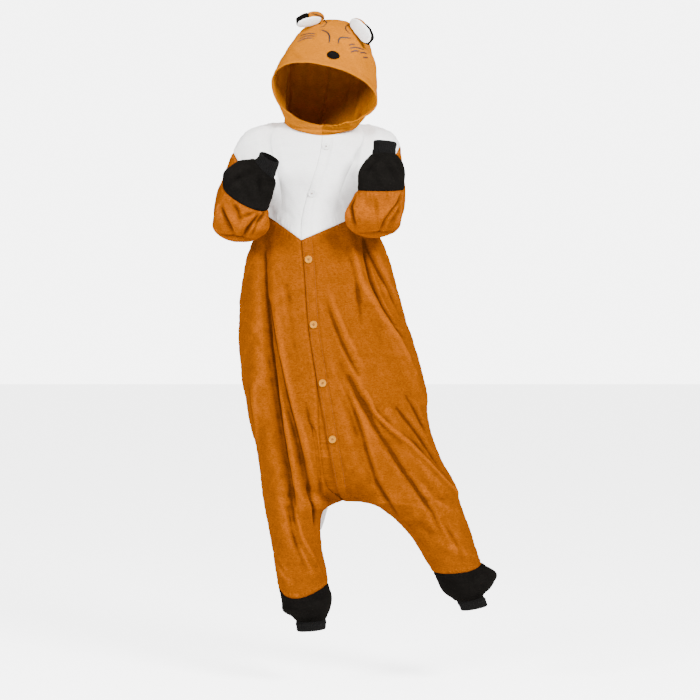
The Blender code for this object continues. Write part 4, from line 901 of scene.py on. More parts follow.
def far_body(share, at, shaped=body):
    """body for the far half, its first column as wide as the placket."""
    share, at = np.broadcast_arrays(np.asarray(share, float), np.asarray(at, float))
    band = first_column_share(at)
    beyond = band + (share - FIRST_COLUMN) * (NECK_SHARE - band) / (NECK_SHARE - FIRST_COLUMN)
    moved = np.where(share < FIRST_COLUMN, share * band / FIRST_COLUMN, beyond)
    return shaped("far", np.where(share < NECK_SHARE, moved, share), at)


def near_body(share, at, shaped=body):
    return shaped("near", share, at)


def padded_form(rows, wide_way):
    """The surface of a padded piece: turn goes round a ring, at down the rows of its table."""

    def surface(turn, at):
        turn, at = np.broadcast_arrays(np.asarray(turn, float), np.asarray(at, float))
        values, step = read(rows, at), 0.05
        travel = unit((read(rows, at + step) - read(rows, at - step))[..., 0:3])
        way = np.asarray(wide_way, float)
        wide = unit(way - travel * (travel @ way)[..., None])
        deep = np.cross(wide, travel)
        angle = 2 * math.pi * turn[..., None]
        out = wide * values[..., 3:4] * np.cos(angle) + deep * values[..., 4:5] * np.sin(angle)
        return values[..., 0:3] + out

    return surface


def finer(at, times):
    """Table positions with each step of them divided evenly."""
    steps = len(at) - 1
    return np.interp(np.linspace(0, steps, steps * times + 1), range(steps + 1), at)


def nodes_of(tree, *kinds):
    return [tree.nodes.new(f"ShaderNode{kind}") for kind in kinds]


def give(node, values):
    """Sets inputs of a node, each by its name or number."""
    for socket, value in values.items():
        node.inputs[socket].default_value = value


def wire(tree, *links):
    """Links outputs to inputs: a node, its output, the next node and its input for each."""
    for source, output, target, socket in links:
        tree.links.new(source.outputs[output], target.inputs[socket])


def nap_group():
    """Curled fleece: the height of its nap, the dark between its curls and slow changes of tone."""
    name = "Fleece nap"
    if name in bpy.data.node_groups:
        return bpy.data.node_groups[name]
    tree = bpy.data.node_groups.new(name, "ShaderNodeTree")
    for socket, default in (("Curl", 0.005), ("Stretch", 2.0)):
        made = tree.interface.new_socket(socket, in_out="INPUT", socket_type="NodeSocketFloat")
        made.default_value = default
    for socket in ("Height", "Fleck", "Tone"):
        tree.interface.new_socket(socket, in_out="OUTPUT", socket_type="NodeSocketFloat")
    given, out = tree.nodes.new("NodeGroupInput"), tree.nodes.new("NodeGroupOutput")
    where, place, one_over, stretch, curl, fibre, slow, mixed = nodes_of(
        tree, "TexCoord", "Mapping", "Math", "CombineXYZ", "TexNoise", "TexNoise", "TexNoise", "Mix"
    )
    one_over.operation = "DIVIDE"
    give(one_over, {0: 1.0})
    give(stretch, {"X": 1.0, "Y": 1.0})
    give(curl, {"Detail": 2.0, "Roughness": 0.5, "Distortion": 1.2})
    give(fibre, {"Detail": 2.0, "Roughness": 0.6, "Scale": 900.0})
    give(slow, {"Detail": 2.0, "Roughness": 0.5, "Scale": 14.0})
    give(mixed, {"Factor": 0.25})
    wire(
        tree,
        (given, "Curl", one_over, 1),
        (given, "Stretch", stretch, "Z"),
        (where, "Object", place, "Vector"),
        (stretch, "Vector", place, "Scale"),
        *((place, "Vector", noise, "Vector") for noise in (curl, fibre, slow)),
        (one_over, "Value", curl, "Scale"),
        (curl, "Fac", mixed, "A"),
        (fibre, "Fac", mixed, "B"),
        (mixed, "Result", out, "Height"),
        (curl, "Fac", out, "Fleck"),
        (slow, "Fac", out, "Tone"),
    )
    return tree


def shaded(name, colour, rough):
    """A material, its tree and its Principled shader."""
    made = bpy.data.materials.new(name)
    made.use_nodes = True
    shader = made.node_tree.nodes["Principled BSDF"]
    give(shader, {"Base Color": (*colour, 1.0), "Roughness": rough})
    return made, made.node_tree, shader


# fold sets how dark the painted shade is deep in a crease, and out how bright the painted highlight is on a ridge.
def fleece(name, colour, deep=0.64, tip=1.22, tone=0.10, sheen=0.08, fold=0.42, out=1.45):
    """Fleece: darker between its curls, with painted shade down in its creases and a painted highlight where it
    stands out on a ridge.
    """
    settings = bpy.context.scene.fox_cloth
    _, tree, shader = shaded(name, colour, 0.92)
    nap = tree.nodes.new("ShaderNodeGroup")
    nap.node_tree = nap_group()
    give(nap, {"Curl": settings.curl, "Stretch": CURL_STRETCH})
    ramp, slow, mixed, bump = nodes_of(tree, "ValToRGB", "ValToRGB", "Mix", "Bump")
    crease, shadow, ridge, both, painted_shade_and_highlight = nodes_of(tree, "Attribute", "MapRange", "MapRange", "Math", "VectorMath")
    shade(ramp, ((0.36, deep), (0.50, 1.0), (0.66, tip)), colour)
    shade(slow, ((0.35, 1.0 - tone), (0.65, 1.0)), (1.0, 1.0, 1.0))
    mixed.data_type, mixed.blend_type = "RGBA", "MULTIPLY"
    give(mixed, {"Factor": 1.0})
    crease.attribute_name = "Crease"
    # shadow darkens the colour down in the creases as painted shade, and ridge lightens it on the ridges as a painted
    # highlight.
    for part, low, high, start, end in ((shadow, 0.0, 1.0, 1.0, fold), (ridge, -1.0, 0.0, out, 1.0)):
        part.interpolation_type = "SMOOTHSTEP"
        give(part, {"From Min": low, "From Max": high, "To Min": start, "To Max": end})
        wire(tree, (crease, "Fac", part, "Value"))
    both.operation, painted_shade_and_highlight.operation = "MULTIPLY", "SCALE"
    give(bump, {"Strength": 0.9, "Distance": settings.nap})
    tint = (*(channel / max(colour) for channel in colour), 1.0)
    give(shader, {"Sheen Weight": sheen, "Sheen Roughness": 0.5, "Sheen Tint": tint, "Specular IOR Level": 0.0})
    wire(
        tree,
        (nap, "Fleck", ramp, "Fac"),
        (nap, "Tone", slow, "Fac"),
        (ramp, "Color", mixed, 6),
        (slow, "Color", mixed, 7),
        (shadow, "Result", both, 0),
        (ridge, "Result", both, 1),
        (mixed, 2, painted_shade_and_highlight, "Vector"),
        (both, "Value", painted_shade_and_highlight, "Scale"),
        (painted_shade_and_highlight, "Vector", shader, "Base Color"),
        (nap, "Height", bump, "Height"),
        (bump, "Normal", shader, "Normal"),
    )


def shade(ramp, stops, colour):
    """Sets a colour ramp to shades of one colour: (position, how bright) for each stop."""
    elements = ramp.color_ramp.elements
    while len(elements) < len(stops):
        elements.new(0.5)
    for element, (place, bright) in zip(elements, stops):
        element.position = place
        element.color = (*(min(1.0, bright * channel) for channel in colour), 1.0)


def rib_knit(name, colour):
    """Rib knit: rows of small loops across the modelled ribs."""
    _, tree, shader = shaded(name, colour, 0.85)
    place, loops, fibre, added, bump = nodes_of(tree, "UVMap", "TexWave", "TexNoise", "Mix", "Bump")
    spread, where = nodes_of(tree, "Mapping", "TexCoord")
    loops.bands_direction = "Y"
    give(spread, {"Scale": (2.0, 22.0, 1.0)})
    give(loops, {"Scale": 1.0, "Distortion": 0.6})
    give(fibre, {"Scale": 1100.0})
    give(added, {"Factor": 0.5})
    give(bump, {"Strength": 0.6, "Distance": 0.0006})
    give(shader, {"Sheen Weight": 0.02, "Specular IOR Level": 0.05})
    wire(
        tree,
        (place, "UV", spread, "Vector"),
        (spread, "Vector", loops, "Vector"),
        (where, "Object", fibre, "Vector"),
        (loops, "Fac", added, "A"),
        (fibre, "Fac", added, "B"),
        (added, "Result", bump, "Height"),
        (bump, "Normal", shader, "Normal"),
    )


def thread(name, colour):
    """Twisted thread, in satin stitch where it fills a line."""
    _, tree, shader = shaded(name, colour, 0.55)
    where, fibre, ramp, bump = nodes_of(tree, "TexCoord", "TexNoise", "ValToRGB", "Bump")
    shade(ramp, ((0.35, 0.7), (0.6, 1.15)), colour)
    give(fibre, {"Scale": 1500.0})
    give(bump, {"Strength": 0.5, "Distance": 0.0004})
    wire(
        tree,
        (where, "Object", fibre, "Vector"),
        (fibre, "Fac", ramp, "Fac"),
        (ramp, "Color", shader, "Base Color"),
        (fibre, "Fac", bump, "Height"),
        (bump, "Normal", shader, "Normal"),
    )


def moulded(name, colour):
    """Moulded button plastic with faint clouding and fine scratches."""
    _, tree, shader = shaded(name, colour, 0.45)
    where, cloud, scratch, ramp, rough = nodes_of(tree, "TexCoord", "TexNoise", "TexNoise", "ValToRGB", "MapRange")
    shade(ramp, ((0.35, 0.88), (0.65, 1.06)), colour)
    give(cloud, {"Scale": 180.0})
    give(scratch, {"Scale": 900.0})
    give(rough, {"To Min": 0.38, "To Max": 0.55})
    give(
        shader,
        {"Specular IOR Level": 0.25, "Subsurface Weight": 0.1, "Subsurface Radius": (0.002, 0.0015, 0.001)},
    )
    wire(
        tree,
        (where, "Object", cloud, "Vector"),
        (where, "Object", scratch, "Vector"),
        (cloud, "Fac", ramp, "Fac"),
        (scratch, "Fac", rough, "Value"),
        (ramp, "Color", shader, "Base Color"),
        (rough, "Result", shader, "Roughness"),
    )


def finishes():
    """Every finish of the onesie by name, made once."""
    if "orange fleece" in bpy.data.materials:
        return bpy.data.materials
    cloths, trims = bpy.context.scene.fox_cloth, bpy.context.scene.fox_trims
    # fold and out set the painted shade in each fleece's creases and the painted highlight on its ridges.
    fleece("orange fleece", cloths.body_colour)
    fleece("hood fleece", cloths.hood_colour, deep=0.8, tip=1.1, tone=0.06, fold=0.6, out=1.15)
    fleece("white fleece", cloths.white_colour, deep=0.9, tip=1.04, tone=0.03, sheen=0.1, fold=0.8, out=1.03)
    fleece("black fleece", cloths.black_colour, deep=0.8, tip=1.3, tone=0.2, sheen=0.01, fold=0.6, out=1.3)
    rib_knit("black rib", cloths.rib_colour)
    moulded("yellow button", trims.yellow_colour)
    moulded("white button", trims.pale_colour)
    thread("eye thread", trims.line_colour)
    thread("whisker thread", trims.whisker_colour)
    thread("orange thread", [0.8 * channel for channel in cloths.body_colour])
    thread("white thread", [0.9 * channel for channel in cloths.white_colour])
    return bpy.data.materials


def body_surface(side):
    """The surface of one half, with its folds and creases, and its ways and outward normal."""
    surface = near_body if side == "near" else far_body
    return surface, lambda share, at: body_frame(side, lambda u, v: surface(u, v, body_form), share, at)


def creased(surface, axes_at, creases):
    """A surface with creases whose paths are in its own table positions."""
    placed = creases_on(surface, creases)

    def with_creases(u, v):
        _, _, normal = axes_at(u, v)
        points = surface(u, v)
        return points + fold_height(placed, points)[..., None] * normal

    return with_creases


def sleeve_surface(side):
    """A sleeve's surface with its creases, and its ways and outward normal."""
    outward = 1.0 if side == "near" else -1.0

    def surface(turn, at):
        return sleeve(side, turn, at)

    def axes_at(turn, at):
        along, down, normal = frame_at(surface, turn, at, tube_limits(WRIST_HEM))
        return along, down, outward * normal

    round_arm = creased(surface, axes_at, SLEEVE_CREASES)

    def with_seen(turn, at):
        _, _, normal = axes_at(turn, at)
        seen = fold_height(SLEEVE_SEEN[side], surface(turn, at)[..., (0, 2)])
        height = seen * smooth(*SLEEVE_SEEN_FROM, -normal[..., 1])
        return round_arm(turn, at) + height[..., None] * normal

    return with_seen, axes_at


def hood_axes(turn, at):
    """The ways along the hood's surface and its outward normal."""
    return frame_at(hood, turn, at, tube_limits(NECK_SEAM))


def edge_lengths(points):
    """Lengths along the cloth over a grid of points, from each of its four edges."""
    across = np.linalg.norm(np.diff(points, axis=1), axis=-1)
    down = np.linalg.norm(np.diff(points, axis=0), axis=-1)
    left = np.pad(np.cumsum(across, axis=1), ((0, 0), (1, 0)))
    top = np.pad(np.cumsum(down, axis=0), ((1, 0), (0, 0)))
    return {"left": left, "right": left[:, -1:] - left, "top": top, "bottom": top[-1:] - top}


def seam_height(lengths, seams):
    """How the cloth rolls into its seams and puckers beside them; seams names the sewn edges."""
    height = np.zeros(lengths["left"].shape)
    for edge in seams:
        off = lengths[edge]
        along = lengths["top" if edge in ("left", "right") else "left"]
        height -= SEAM_DIP * np.exp(-((off / SEAM_REACH) ** 2))
        height += SEAM_ROLL * np.exp(-(((off - SEAM_ROLL_AT) / SEAM_REACH) ** 2))
        wave = np.sin(2 * np.pi * along / PUCKER_PITCH + 2.0 * np.sin(2 * np.pi * along / (3.7 * PUCKER_PITCH)))
        height += PUCKER * wave * np.exp(-((off / SEAM_ROLL_AT - 1.0) ** 2)) * smooth(0.0, SEAM_REACH, off)
    return height


def hem_height(lengths, hems):
    """The double cloth of a turned hem and the groove of its stitches."""
    height = np.zeros(lengths["left"].shape)
    for edge in hems:
        off = lengths[edge]
        height += HEM_RISE * smooth(HEM_WIDTH + HEM_SLOPE[0], HEM_WIDTH - HEM_SLOPE[1], off)
        height -= HEM_GROOVE * np.exp(-(((off - HEM_WIDTH + HEM_STITCH) / HEM_GROOVE_WIDTH) ** 2))
        height -= HEM_RISE * smooth(HEM_ROUND, 0.0, off) ** 2
    return height


def uneven_height(points):
    """The slight unevenness of soft cloth, the same on each side of a seam."""
    height = np.zeros(points.shape[:-1])
    for high, length in UNEVEN:
        for number, way in enumerate(UNEVEN_WAYS):  # uneven shifts, so that the waves never line up
            phase = points @ unit(np.asarray(way)) * 2 * np.pi / (length * (1.0 + 0.23 * number))
            height += high / 2 * np.sin(phase + 1.7 * number + 1.3 * np.sin(0.61 * phase))
    return height


def as_data(mesh, name):
    """Mesh data from a bmesh, which is freed."""
    data = bpy.data.meshes.new(name)
    mesh.to_mesh(data)
    mesh.free()
    return data


def show(mesh, name, finish, nodes=()):
    """An object of the onesie from a bmesh, riding on the body, standing for its CAD nodes."""
    data = as_data(mesh, name)
    data.shade_smooth()
    return dress(bpy.data.objects.new(name, data), finish, nodes)


def dress(made, finish, nodes=()):
    """Gives a new object its finish and its place in the model."""
    bpy.context.scene.collection.objects.link(made)
    made.data.materials.append(finishes()[finish])
    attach(made, "root")
    if nodes:
        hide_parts(*nodes)
    return made


EDGES = ("left", "right", "top", "bottom")


def crease_depth(points, normal, closed):
    """How deep each point of a grid lies in a crease, 1 for deep, and -1 where it stands out on a ridge; the fleece
    paints shade and highlight from it.
    """
    depth = np.zeros(points.shape[:-1])
    for span, deep in CREASE_SPANS:
        for axis in (0, 1):
            step = np.linalg.norm(np.diff(points, axis=axis), axis=-1).mean()
            cells = max(1, round(span / step))
            pad = [(0, 0), (0, 0), (0, 0)]
            pad[axis] = (cells, cells)
            wide = np.pad(points, pad, mode="wrap" if closed and axis == 1 else "edge")
            before = wide[: -2 * cells] if axis == 0 else wide[:, : -2 * cells]
            after = wide[2 * cells :] if axis == 0 else wide[:, 2 * cells :]
            depth += ((before + after - 2 * points) * normal).sum(-1) / 2 / deep
    return np.clip(depth, -1.0, 1.0)


def off_neck(u, lengths):
    """0 at the neck edge of the chest or back and 1 away from it."""
    shoulder = smooth(NECK_SHARE, NECK_SHARE + NECK_CALM_SHARE, np.minimum(u, 1.0 - u))
    return 1.0 - (1.0 - smooth(0.0, NECK_CALM, lengths["top"])) * (1.0 - shoulder)


def off_hood_foot(u, lengths):
    """0 at the neck edge of the hood and 1 away from it."""
    return smooth(0.0, NECK_CALM, lengths["bottom"])


def cloth(name, surface, axes_at, u_at, v_at, finish, closed=False, wall=None, lift=0.0, seams=(), hems=(),
          relief=None, calm=None):
    """A piece of cloth on a surface: a fine grid with seams, hems and relief, and a wall grown inwards.

    calm gives how much of the relief is left, so that both sides of a seam at the bottom of a hollow meet.
    """
    mesh = bmesh.new()
    mesh.loops.layers.uv.new("Cloth")
    lip = {edge: int(edge in seams) for edge in EDGES}  # a row or column turned in at each seam
    u_at = np.concatenate((u_at[:1][: lip["left"]], u_at, u_at[-1:][: lip["right"]]))
    v_at = np.concatenate((v_at[:1][: lip["top"]], v_at, v_at[-1:][: lip["bottom"]]))
    columns, rows = len(u_at) - 1, len(v_at) - 1
    bmesh.ops.create_grid(mesh, x_segments=columns, y_segments=rows, size=0.5, calc_uvs=True)
    column = np.array([round((vert.co.x + 0.5) * columns) for vert in mesh.verts])
    row = np.array([round((vert.co.y + 0.5) * rows) for vert in mesh.verts])
    u, v = np.meshgrid(u_at, v_at)
    points = surface(u, v)
    along, down, normal = axes_at(u, v)
    lengths = edge_lengths(points)
    height = lift + seam_height(lengths, seams) + hem_height(lengths, hems) + uneven_height(points)
    if relief is not None:
        height += relief(u, v, points)
    if calm is not None:
        height *= calm(u, lengths)
    # How deep the cloth lies in its creases, stored below as the Crease attribute that the fleece reads for painted
    # shade in creases and a painted highlight on ridges.
    folded = crease_depth(points + height[..., None] * normal, normal, closed)
    ends = {"left": np.s_[:, :1], "right": np.s_[:, -1:], "top": np.s_[:1], "bottom": np.s_[-1:]}
    for edge in seams:
        height[ends[edge]] = lift - SEAM_LIP
    shown = points + height[..., None] * normal
    short = {edge: SEAM_TUCK if edge in seams else SEAM_GAP / 2 for edge in EDGES}
    shown[: 1 + lip["top"]] += down[: 1 + lip["top"]] * short["top"]
    shown[-1 - lip["bottom"] :] -= down[-1 - lip["bottom"] :] * short["bottom"]
    if closed:
        shown[:, -1] = shown[:, 0]
    else:
        shown[:, : 1 + lip["left"]] += along[:, : 1 + lip["left"]] * short["left"]
        shown[:, -1 - lip["right"] :] -= along[:, -1 - lip["right"] :] * short["right"]
    crease = mesh.verts.layers.float.new("Crease")
    for vert, place, deep in zip(mesh.verts, shown[row, column], folded[row, column]):
        vert.co, vert[crease] = Vector(place), deep
    mesh.normal_update()
    mesh.verts.ensure_lookup_table()
    middle = np.flatnonzero((row == rows // 2) & (column == columns // 2))[0]
    if mesh.verts[middle].normal.dot(Vector(normal[rows // 2, columns // 2])) < 0.0:
        bmesh.ops.reverse_faces(mesh, faces=mesh.faces[:])
    if closed:
        bmesh.ops.remove_doubles(mesh, verts=mesh.verts[:], dist=1e-5)
    made = show(mesh, f"{name}_cloth", finish, (name,))
    solidify = made.modifiers.new("Wall", "SOLIDIFY")
    solidify.thickness = bpy.context.scene.fox_cloth.wall if wall is None else wall
    solidify.offset = -1.0
    solidify.use_rim = True
    cells = np.linalg.norm(np.cross(shown[1:, 1:] - shown[:-1, :-1], shown[1:, :-1] - shown[:-1, 1:]), axis=-1)
    area, lengths = float(cells.sum()) / 2, edge_lengths(shown)
    flat = (float(lengths["left"][:, -1].max()), float(lengths["top"][-1].max()))
    if area < CUT_SHARE * flat[0] * flat[1]:  # a panel that narrows to a corner
        flat = flat[0], area / CUT_SHARE / flat[0]


def front_columns():
    neck = np.linspace(0.0, NECK_SHARE, NECK_COLUMNS + 1)
    return np.concatenate((neck, np.linspace(NECK_SHARE, SIDE_FRONT, SHOULDER_COLUMNS + 1)[1:]))


def back_columns():
    neck = np.linspace(1.0 - NECK_SHARE, 1.0, NECK_COLUMNS + 1)
    return np.concatenate((np.linspace(SIDE_BACK, 1.0 - NECK_SHARE, SHOULDER_COLUMNS + 1), neck[1:]))


def upper_rows():
    return np.linspace(-1.0, 0.0, UPPER_ROWS + 1)


def torso_rows():
    return body_rows("near", 0.0, CROTCH, BODY_ROWS)


def fine(at, times=None):
    """Table positions divided for the shown cloth."""
    return finer(at, times or bpy.context.scene.fox_cloth.fineness)


def fine_front():
    return fine(front_columns(), bpy.context.scene.fox_cloth.front_fineness)


def make_body(side):
    """Chest, front and back of one half."""
    surface, axes_at = body_surface(side)
    lower = np.concatenate((torso_rows(), body_rows(side, CROTCH, ANKLE_SEAM, LEG_ROWS)[1:]))
    front, back = fine_front(), fine(back_columns())
    sewn = ("top", "bottom", "right")
    cloth(f"chest_{side}", surface, axes_at, front, fine(upper_rows()), "white fleece", seams=sewn, calm=off_neck)
    cloth(f"front_{side}", surface, axes_at, front, fine(lower), "orange fleece", seams=(*sewn, "left"))
    whole = fine(np.concatenate((upper_rows(), lower[1:])))
    cloth(f"back_{side}", surface, axes_at, back, whole, "orange fleece", seams=(*sewn, "left"), calm=off_neck)


def make_leg_end(side):
    """Black lower leg and ribbed ankle cuff."""
    surface, axes_at = body_surface(side)
    ring = np.concatenate((fine_front(), fine(back_columns())[1:]))
    rows = fine(body_rows(side, ANKLE_SEAM, RIB_SEAM, LEG_END_ROWS))
    cloth(f"leg_end_{side}", surface, axes_at, ring, rows, "black fleece", closed=True, seams=("top", "bottom"))
    cuff(f"ankle_cuff_{side}", surface, axes_at, np.linspace(RIB_SEAM, LEG_HEM, CUFF_ROWS + 1))


def cuff(name, surface, axes_at, rows):
    """A tube of rib knit, its ribs modelled and its folded edge rounded."""
    settings = bpy.context.scene.fox_cloth
    ring = surface(np.linspace(0.0, 1.0, CUFF_POINTS), np.full(CUFF_POINTS, rows.mean()))
    ribs = round(float(np.linalg.norm(np.diff(ring, axis=0), axis=1).sum()) / settings.rib_pitch)

    def ribbed(u, v, points):
        off_edge = edge_lengths(points)["bottom"]
        fold = -CUFF_FOLD * smooth(CUFF_FOLD_REACH, 0.0, off_edge) ** 2
        return settings.rib_height * np.cos(2 * np.pi * ribs * u) + fold

    around = np.linspace(0.0, 1.0, RIB_COLUMNS * ribs + 1)
    wall = settings.rib_wall
    cloth(name, surface, axes_at, around, rows, "black rib", closed=True, wall=wall, seams=("top",), relief=ribbed)


def make_sleeve(side):
    """Orange sleeve, black lower sleeve and wrist cuff."""
    surface, axes_at = sleeve_surface(side)

    def rows(start, end, count):
        return fine(evenly(lambda at: sleeve(side, np.full_like(at, 0.0), at), start, end, count))

    around, sewn = fine(np.linspace(0.0, 1.0, SLEEVE_COLUMNS + 1)), ("top", "bottom")
    for name, start, end, count, finish in (
        ("sleeve", SLEEVE_START, WRIST_SEAM, SLEEVE_ROWS, "orange fleece"),
        ("sleeve_end", WRIST_SEAM, WRIST_RIB, SLEEVE_END_ROWS, "black fleece"),
    ):
        at = rows(start, end, count)
        cloth(f"{name}_{side}", surface, axes_at, around, at, finish, closed=True, seams=sewn)
    cuff(f"wrist_cuff_{side}", surface, axes_at, np.linspace(WRIST_RIB, WRIST_HEM, CUFF_ROWS + 1))


def make_placket():
    """The band on the far front that carries the buttons, and the strip behind the opening."""
    surface, axes_at = body_surface("far")
    _, near_axes_at = body_surface("near")
    wall = bpy.context.scene.fox_cloth.wall
    down = body_rows("near", 0.0, BAND_END, BODY_ROWS)
    at_chest = upper_rows()
    at_chest[0] += PLACKET_DROP

    def pressed(u, v, points):
        off = edge_lengths(points)
        groove = BAND_GROOVE * np.exp(-(((off["right"] - BAND_STITCH) / BAND_GROOVE_WIDTH) ** 2))
        edge = BAND_EDGE * smooth(BAND_PRESS, 0.0, off["left"])
        return -BAND_STEP * smooth(BAND_PRESS, 0.0, off["right"]) - groove - edge

    bands = (("chest", at_chest, "white fleece"), ("body", down, "orange fleece"))
    for name, rows, finish in bands:
        across = np.linspace(0.0, FIRST_COLUMN, 2 * bpy.context.scene.fox_cloth.fineness + 1)
        lift, seam = wall + SEAM_GAP, ("bottom",) if name == "chest" else ("top",)
        cloth(f"placket_{name}", surface, axes_at, across, fine(rows), finish, lift=lift, seams=seam, relief=pressed)

    def strip(u, at):
        parts = {}
        for side, half in zip(SIDES, (near_body, far_body)):
            edge, inside = half(np.zeros_like(u), at), half(np.full_like(u, FIRST_COLUMN), at)
            share = np.interp(u, range(len(UNDER_STRIP)), UNDER_STRIP)[..., None]
            parts[side] = edge + np.abs(share) * (inside - edge)
        return np.where((u < UNDER_STRIP_MIDDLE)[..., None], parts["far"], parts["near"])

    def strip_axes_at(u, at):
        at_far = (u < UNDER_STRIP_MIDDLE)[..., None]
        share = np.full_like(u, FIRST_COLUMN / 4)
        _, far_down, far_normal = axes_at(share, at)
        _, near_down, near_normal = near_axes_at(share, at)
        along = np.zeros_like(far_down)
        along[..., 0] = -1.0
        return along, np.where(at_far, far_down, near_down), np.where(at_far, far_normal, near_normal)

    def gathered(u, v, points):
        wave = np.sin(2 * np.pi * points[..., 2] / STRIP_PUCKER[1] + 1.7 * np.sin(19.0 * points[..., 2]))
        low = smooth(*STRIP_GATHERED, v)
        return STRIP_PUCKER[0] * wave * low * (np.abs(u - UNDER_STRIP_MIDDLE) < 1.0)

    places = fine(np.arange(len(UNDER_STRIP), dtype=float))
    for name, rows, finish in bands:
        if name == "body":
            rows = body_rows("near", 0.0, STRIP_END, BODY_ROWS)
        cloth(f"placket_under_{name}", strip, strip_axes_at, places, fine(rows), finish,
              lift=-wall - STRIP_BEHIND * SEAM_GAP, relief=gathered)


def make_hood():
    """Face panel with its turned rim, and the two back panels, open at the centre front."""
    surface, axes_at = creased(hood, hood_axes, HOOD_CREASES), hood_axes
    around = fine(np.linspace(0.0, 1.0, HOOD_COLUMNS + 1))
    middle = len(around) // 2
    face_rows = CROWN_SEAM * np.linspace(0.0, 1.0, FACE_ROWS + 1) ** RIM_CROWDING
    back_rows = fine(np.linspace(CROWN_SEAM, NECK_SEAM, HOOD_BACK_ROWS + 1))
    lines = [seen_line(path) for path in EYES + WHISKERS]

    def pulled(u, v, points):
        height = np.zeros(u.shape)
        for line in lines:
            off = np.min(np.linalg.norm(points[..., None, (0, 2)] - line, axis=-1), axis=-1)
            height -= LINE_PULL[0] * np.exp(-((off / LINE_PULL[1]) ** 2)) * (points[..., 1] < 0.02)
        return height

    sewn = ("bottom", "left", "right")
    cloth("hood_face", surface, axes_at, around, face_rows, "hood fleece", seams=sewn, hems=("top",), relief=pulled)
    for name, turns in (("hood_near", around[: middle + 1]), ("hood_far", around[middle:])):
        seam = "right" if name == "hood_near" else "left"
        cloth(name, surface, axes_at, turns, back_rows, "hood fleece", seams=("top", "bottom", seam),
              calm=off_hood_foot)


def rays(*names):
    """The named pieces as one tree to cast rays on."""
    points, faces = [], []
    for name in names:
        data = bpy.data.objects[name].data
        faces += [[len(points) + corner for corner in face.vertices] for face in data.polygons]
        points += [vert.co.copy() for vert in data.vertices]
    return BVHTree.FromPolygons(points, faces)


def seat(tree, point, way):
    """How far along a unit way the outermost cloth under a point is."""
    way = Vector(way)
    _, _, _, reach = tree.ray_cast(Vector(point) + way * SEAT_REACH, -way)
    return None if reach is None else SEAT_REACH - reach


def ring_form(surface, at_rows, columns):
    """A closed bmesh from rings of a surface, its ends filled with fans, and the row of each vertex."""
    mesh = bmesh.new()
    rows = len(at_rows) - 1
    bmesh.ops.create_grid(mesh, x_segments=columns, y_segments=rows, size=0.5)
    across = mesh.verts.layers.float.new("across")
    down = mesh.verts.layers.float.new("down")
    for vert in mesh.verts:
        vert[across], vert[down] = vert.co.x + 0.5, vert.co.y + 0.5
        angle = 2 * math.pi * vert[across]
        vert.co = (math.cos(angle), math.sin(angle), vert[down])
    bmesh.ops.remove_doubles(mesh, verts=mesh.verts[:], dist=1e-5)
    turn = np.array([vert[across] for vert in mesh.verts])
    row = np.array([round(vert[down] * rows) for vert in mesh.verts])
    for vert, point in zip(mesh.verts, surface(turn, np.asarray(at_rows)[row])):
        vert.co = Vector(point)
    first = {vert for vert, at in zip(mesh.verts, row) if at == 0}
    ends = bmesh.ops.holes_fill(mesh, edges=mesh.edges[:], sides=0)["faces"]
    root_end = next(face for face in ends if first & set(face.verts))
    bmesh.ops.poke(mesh, faces=[face for face in ends if face is not root_end])
    seated = bmesh.ops.poke(mesh, faces=[root_end])["verts"] + list(first)
    bmesh.ops.recalc_face_normals(mesh, faces=mesh.faces[:])
    return mesh, seated


def stuffed(name, node, surface, at_rows, finish, root=None):
    """A padded piece from rings of a surface; root(point) seats its first ring."""
    mesh, seated = ring_form(surface, at_rows, PADDED_COLUMNS)
    if root is not None:
        for vert in seated:
            vert.co = root(vert.co)
    made = show(mesh, name, finish, (node,))
    soft = made.modifiers.new("Soft", "SUBSURF")
    soft.levels = soft.render_levels = 1


def root_on(tree, away):
    """Moves a point of a padded piece's root along away until it stands on the cloth."""
    return lambda point: point + away * (seat(tree, point, away) + SEAM_GAP)


def rolled(rows, surface, seam, row_length):
    """A padded surface drawn in where its two cloths are sewn together."""

    def drawn_in(turn, at):
        points, middle = surface(turn, at), read(rows, at)[..., 0:3]
        off = (np.asarray(at, float) - seam) * row_length
        share = ROLL_DRAWN * np.exp(-((off / ROLL_REACH) ** 2))
        return middle + (points - middle) * (1.0 - share)[..., None]

    return drawn_in


def make_tail():
    """Padded tail with a white tip, sewn to the backs."""
    surface = rolled(TAIL, padded_form(TAIL, TAIL_WIDE_WAY), TAIL_TIP, TAIL_ROW)
    tree = rays("back_near_cloth", "back_far_cloth")
    root = root_on(tree, Vector((0.0, 1.0, 0.0)))
    ends, gap = len(TAIL) - 1, SEAM_GAP / 2 / TAIL_ROW
    at = np.linspace(0.0, TAIL_TIP - gap, TAIL_RINGS[0])
    stuffed("tail_padded", "tail", surface, at, "orange fleece", root)
    at = TAIL_TIP + gap + (ends - TAIL_TIP - gap) * np.linspace(0.0, 1.0, TAIL_RINGS[1])
    stuffed("tail_tip_padded", "tail_tip", surface, at, "white fleece")


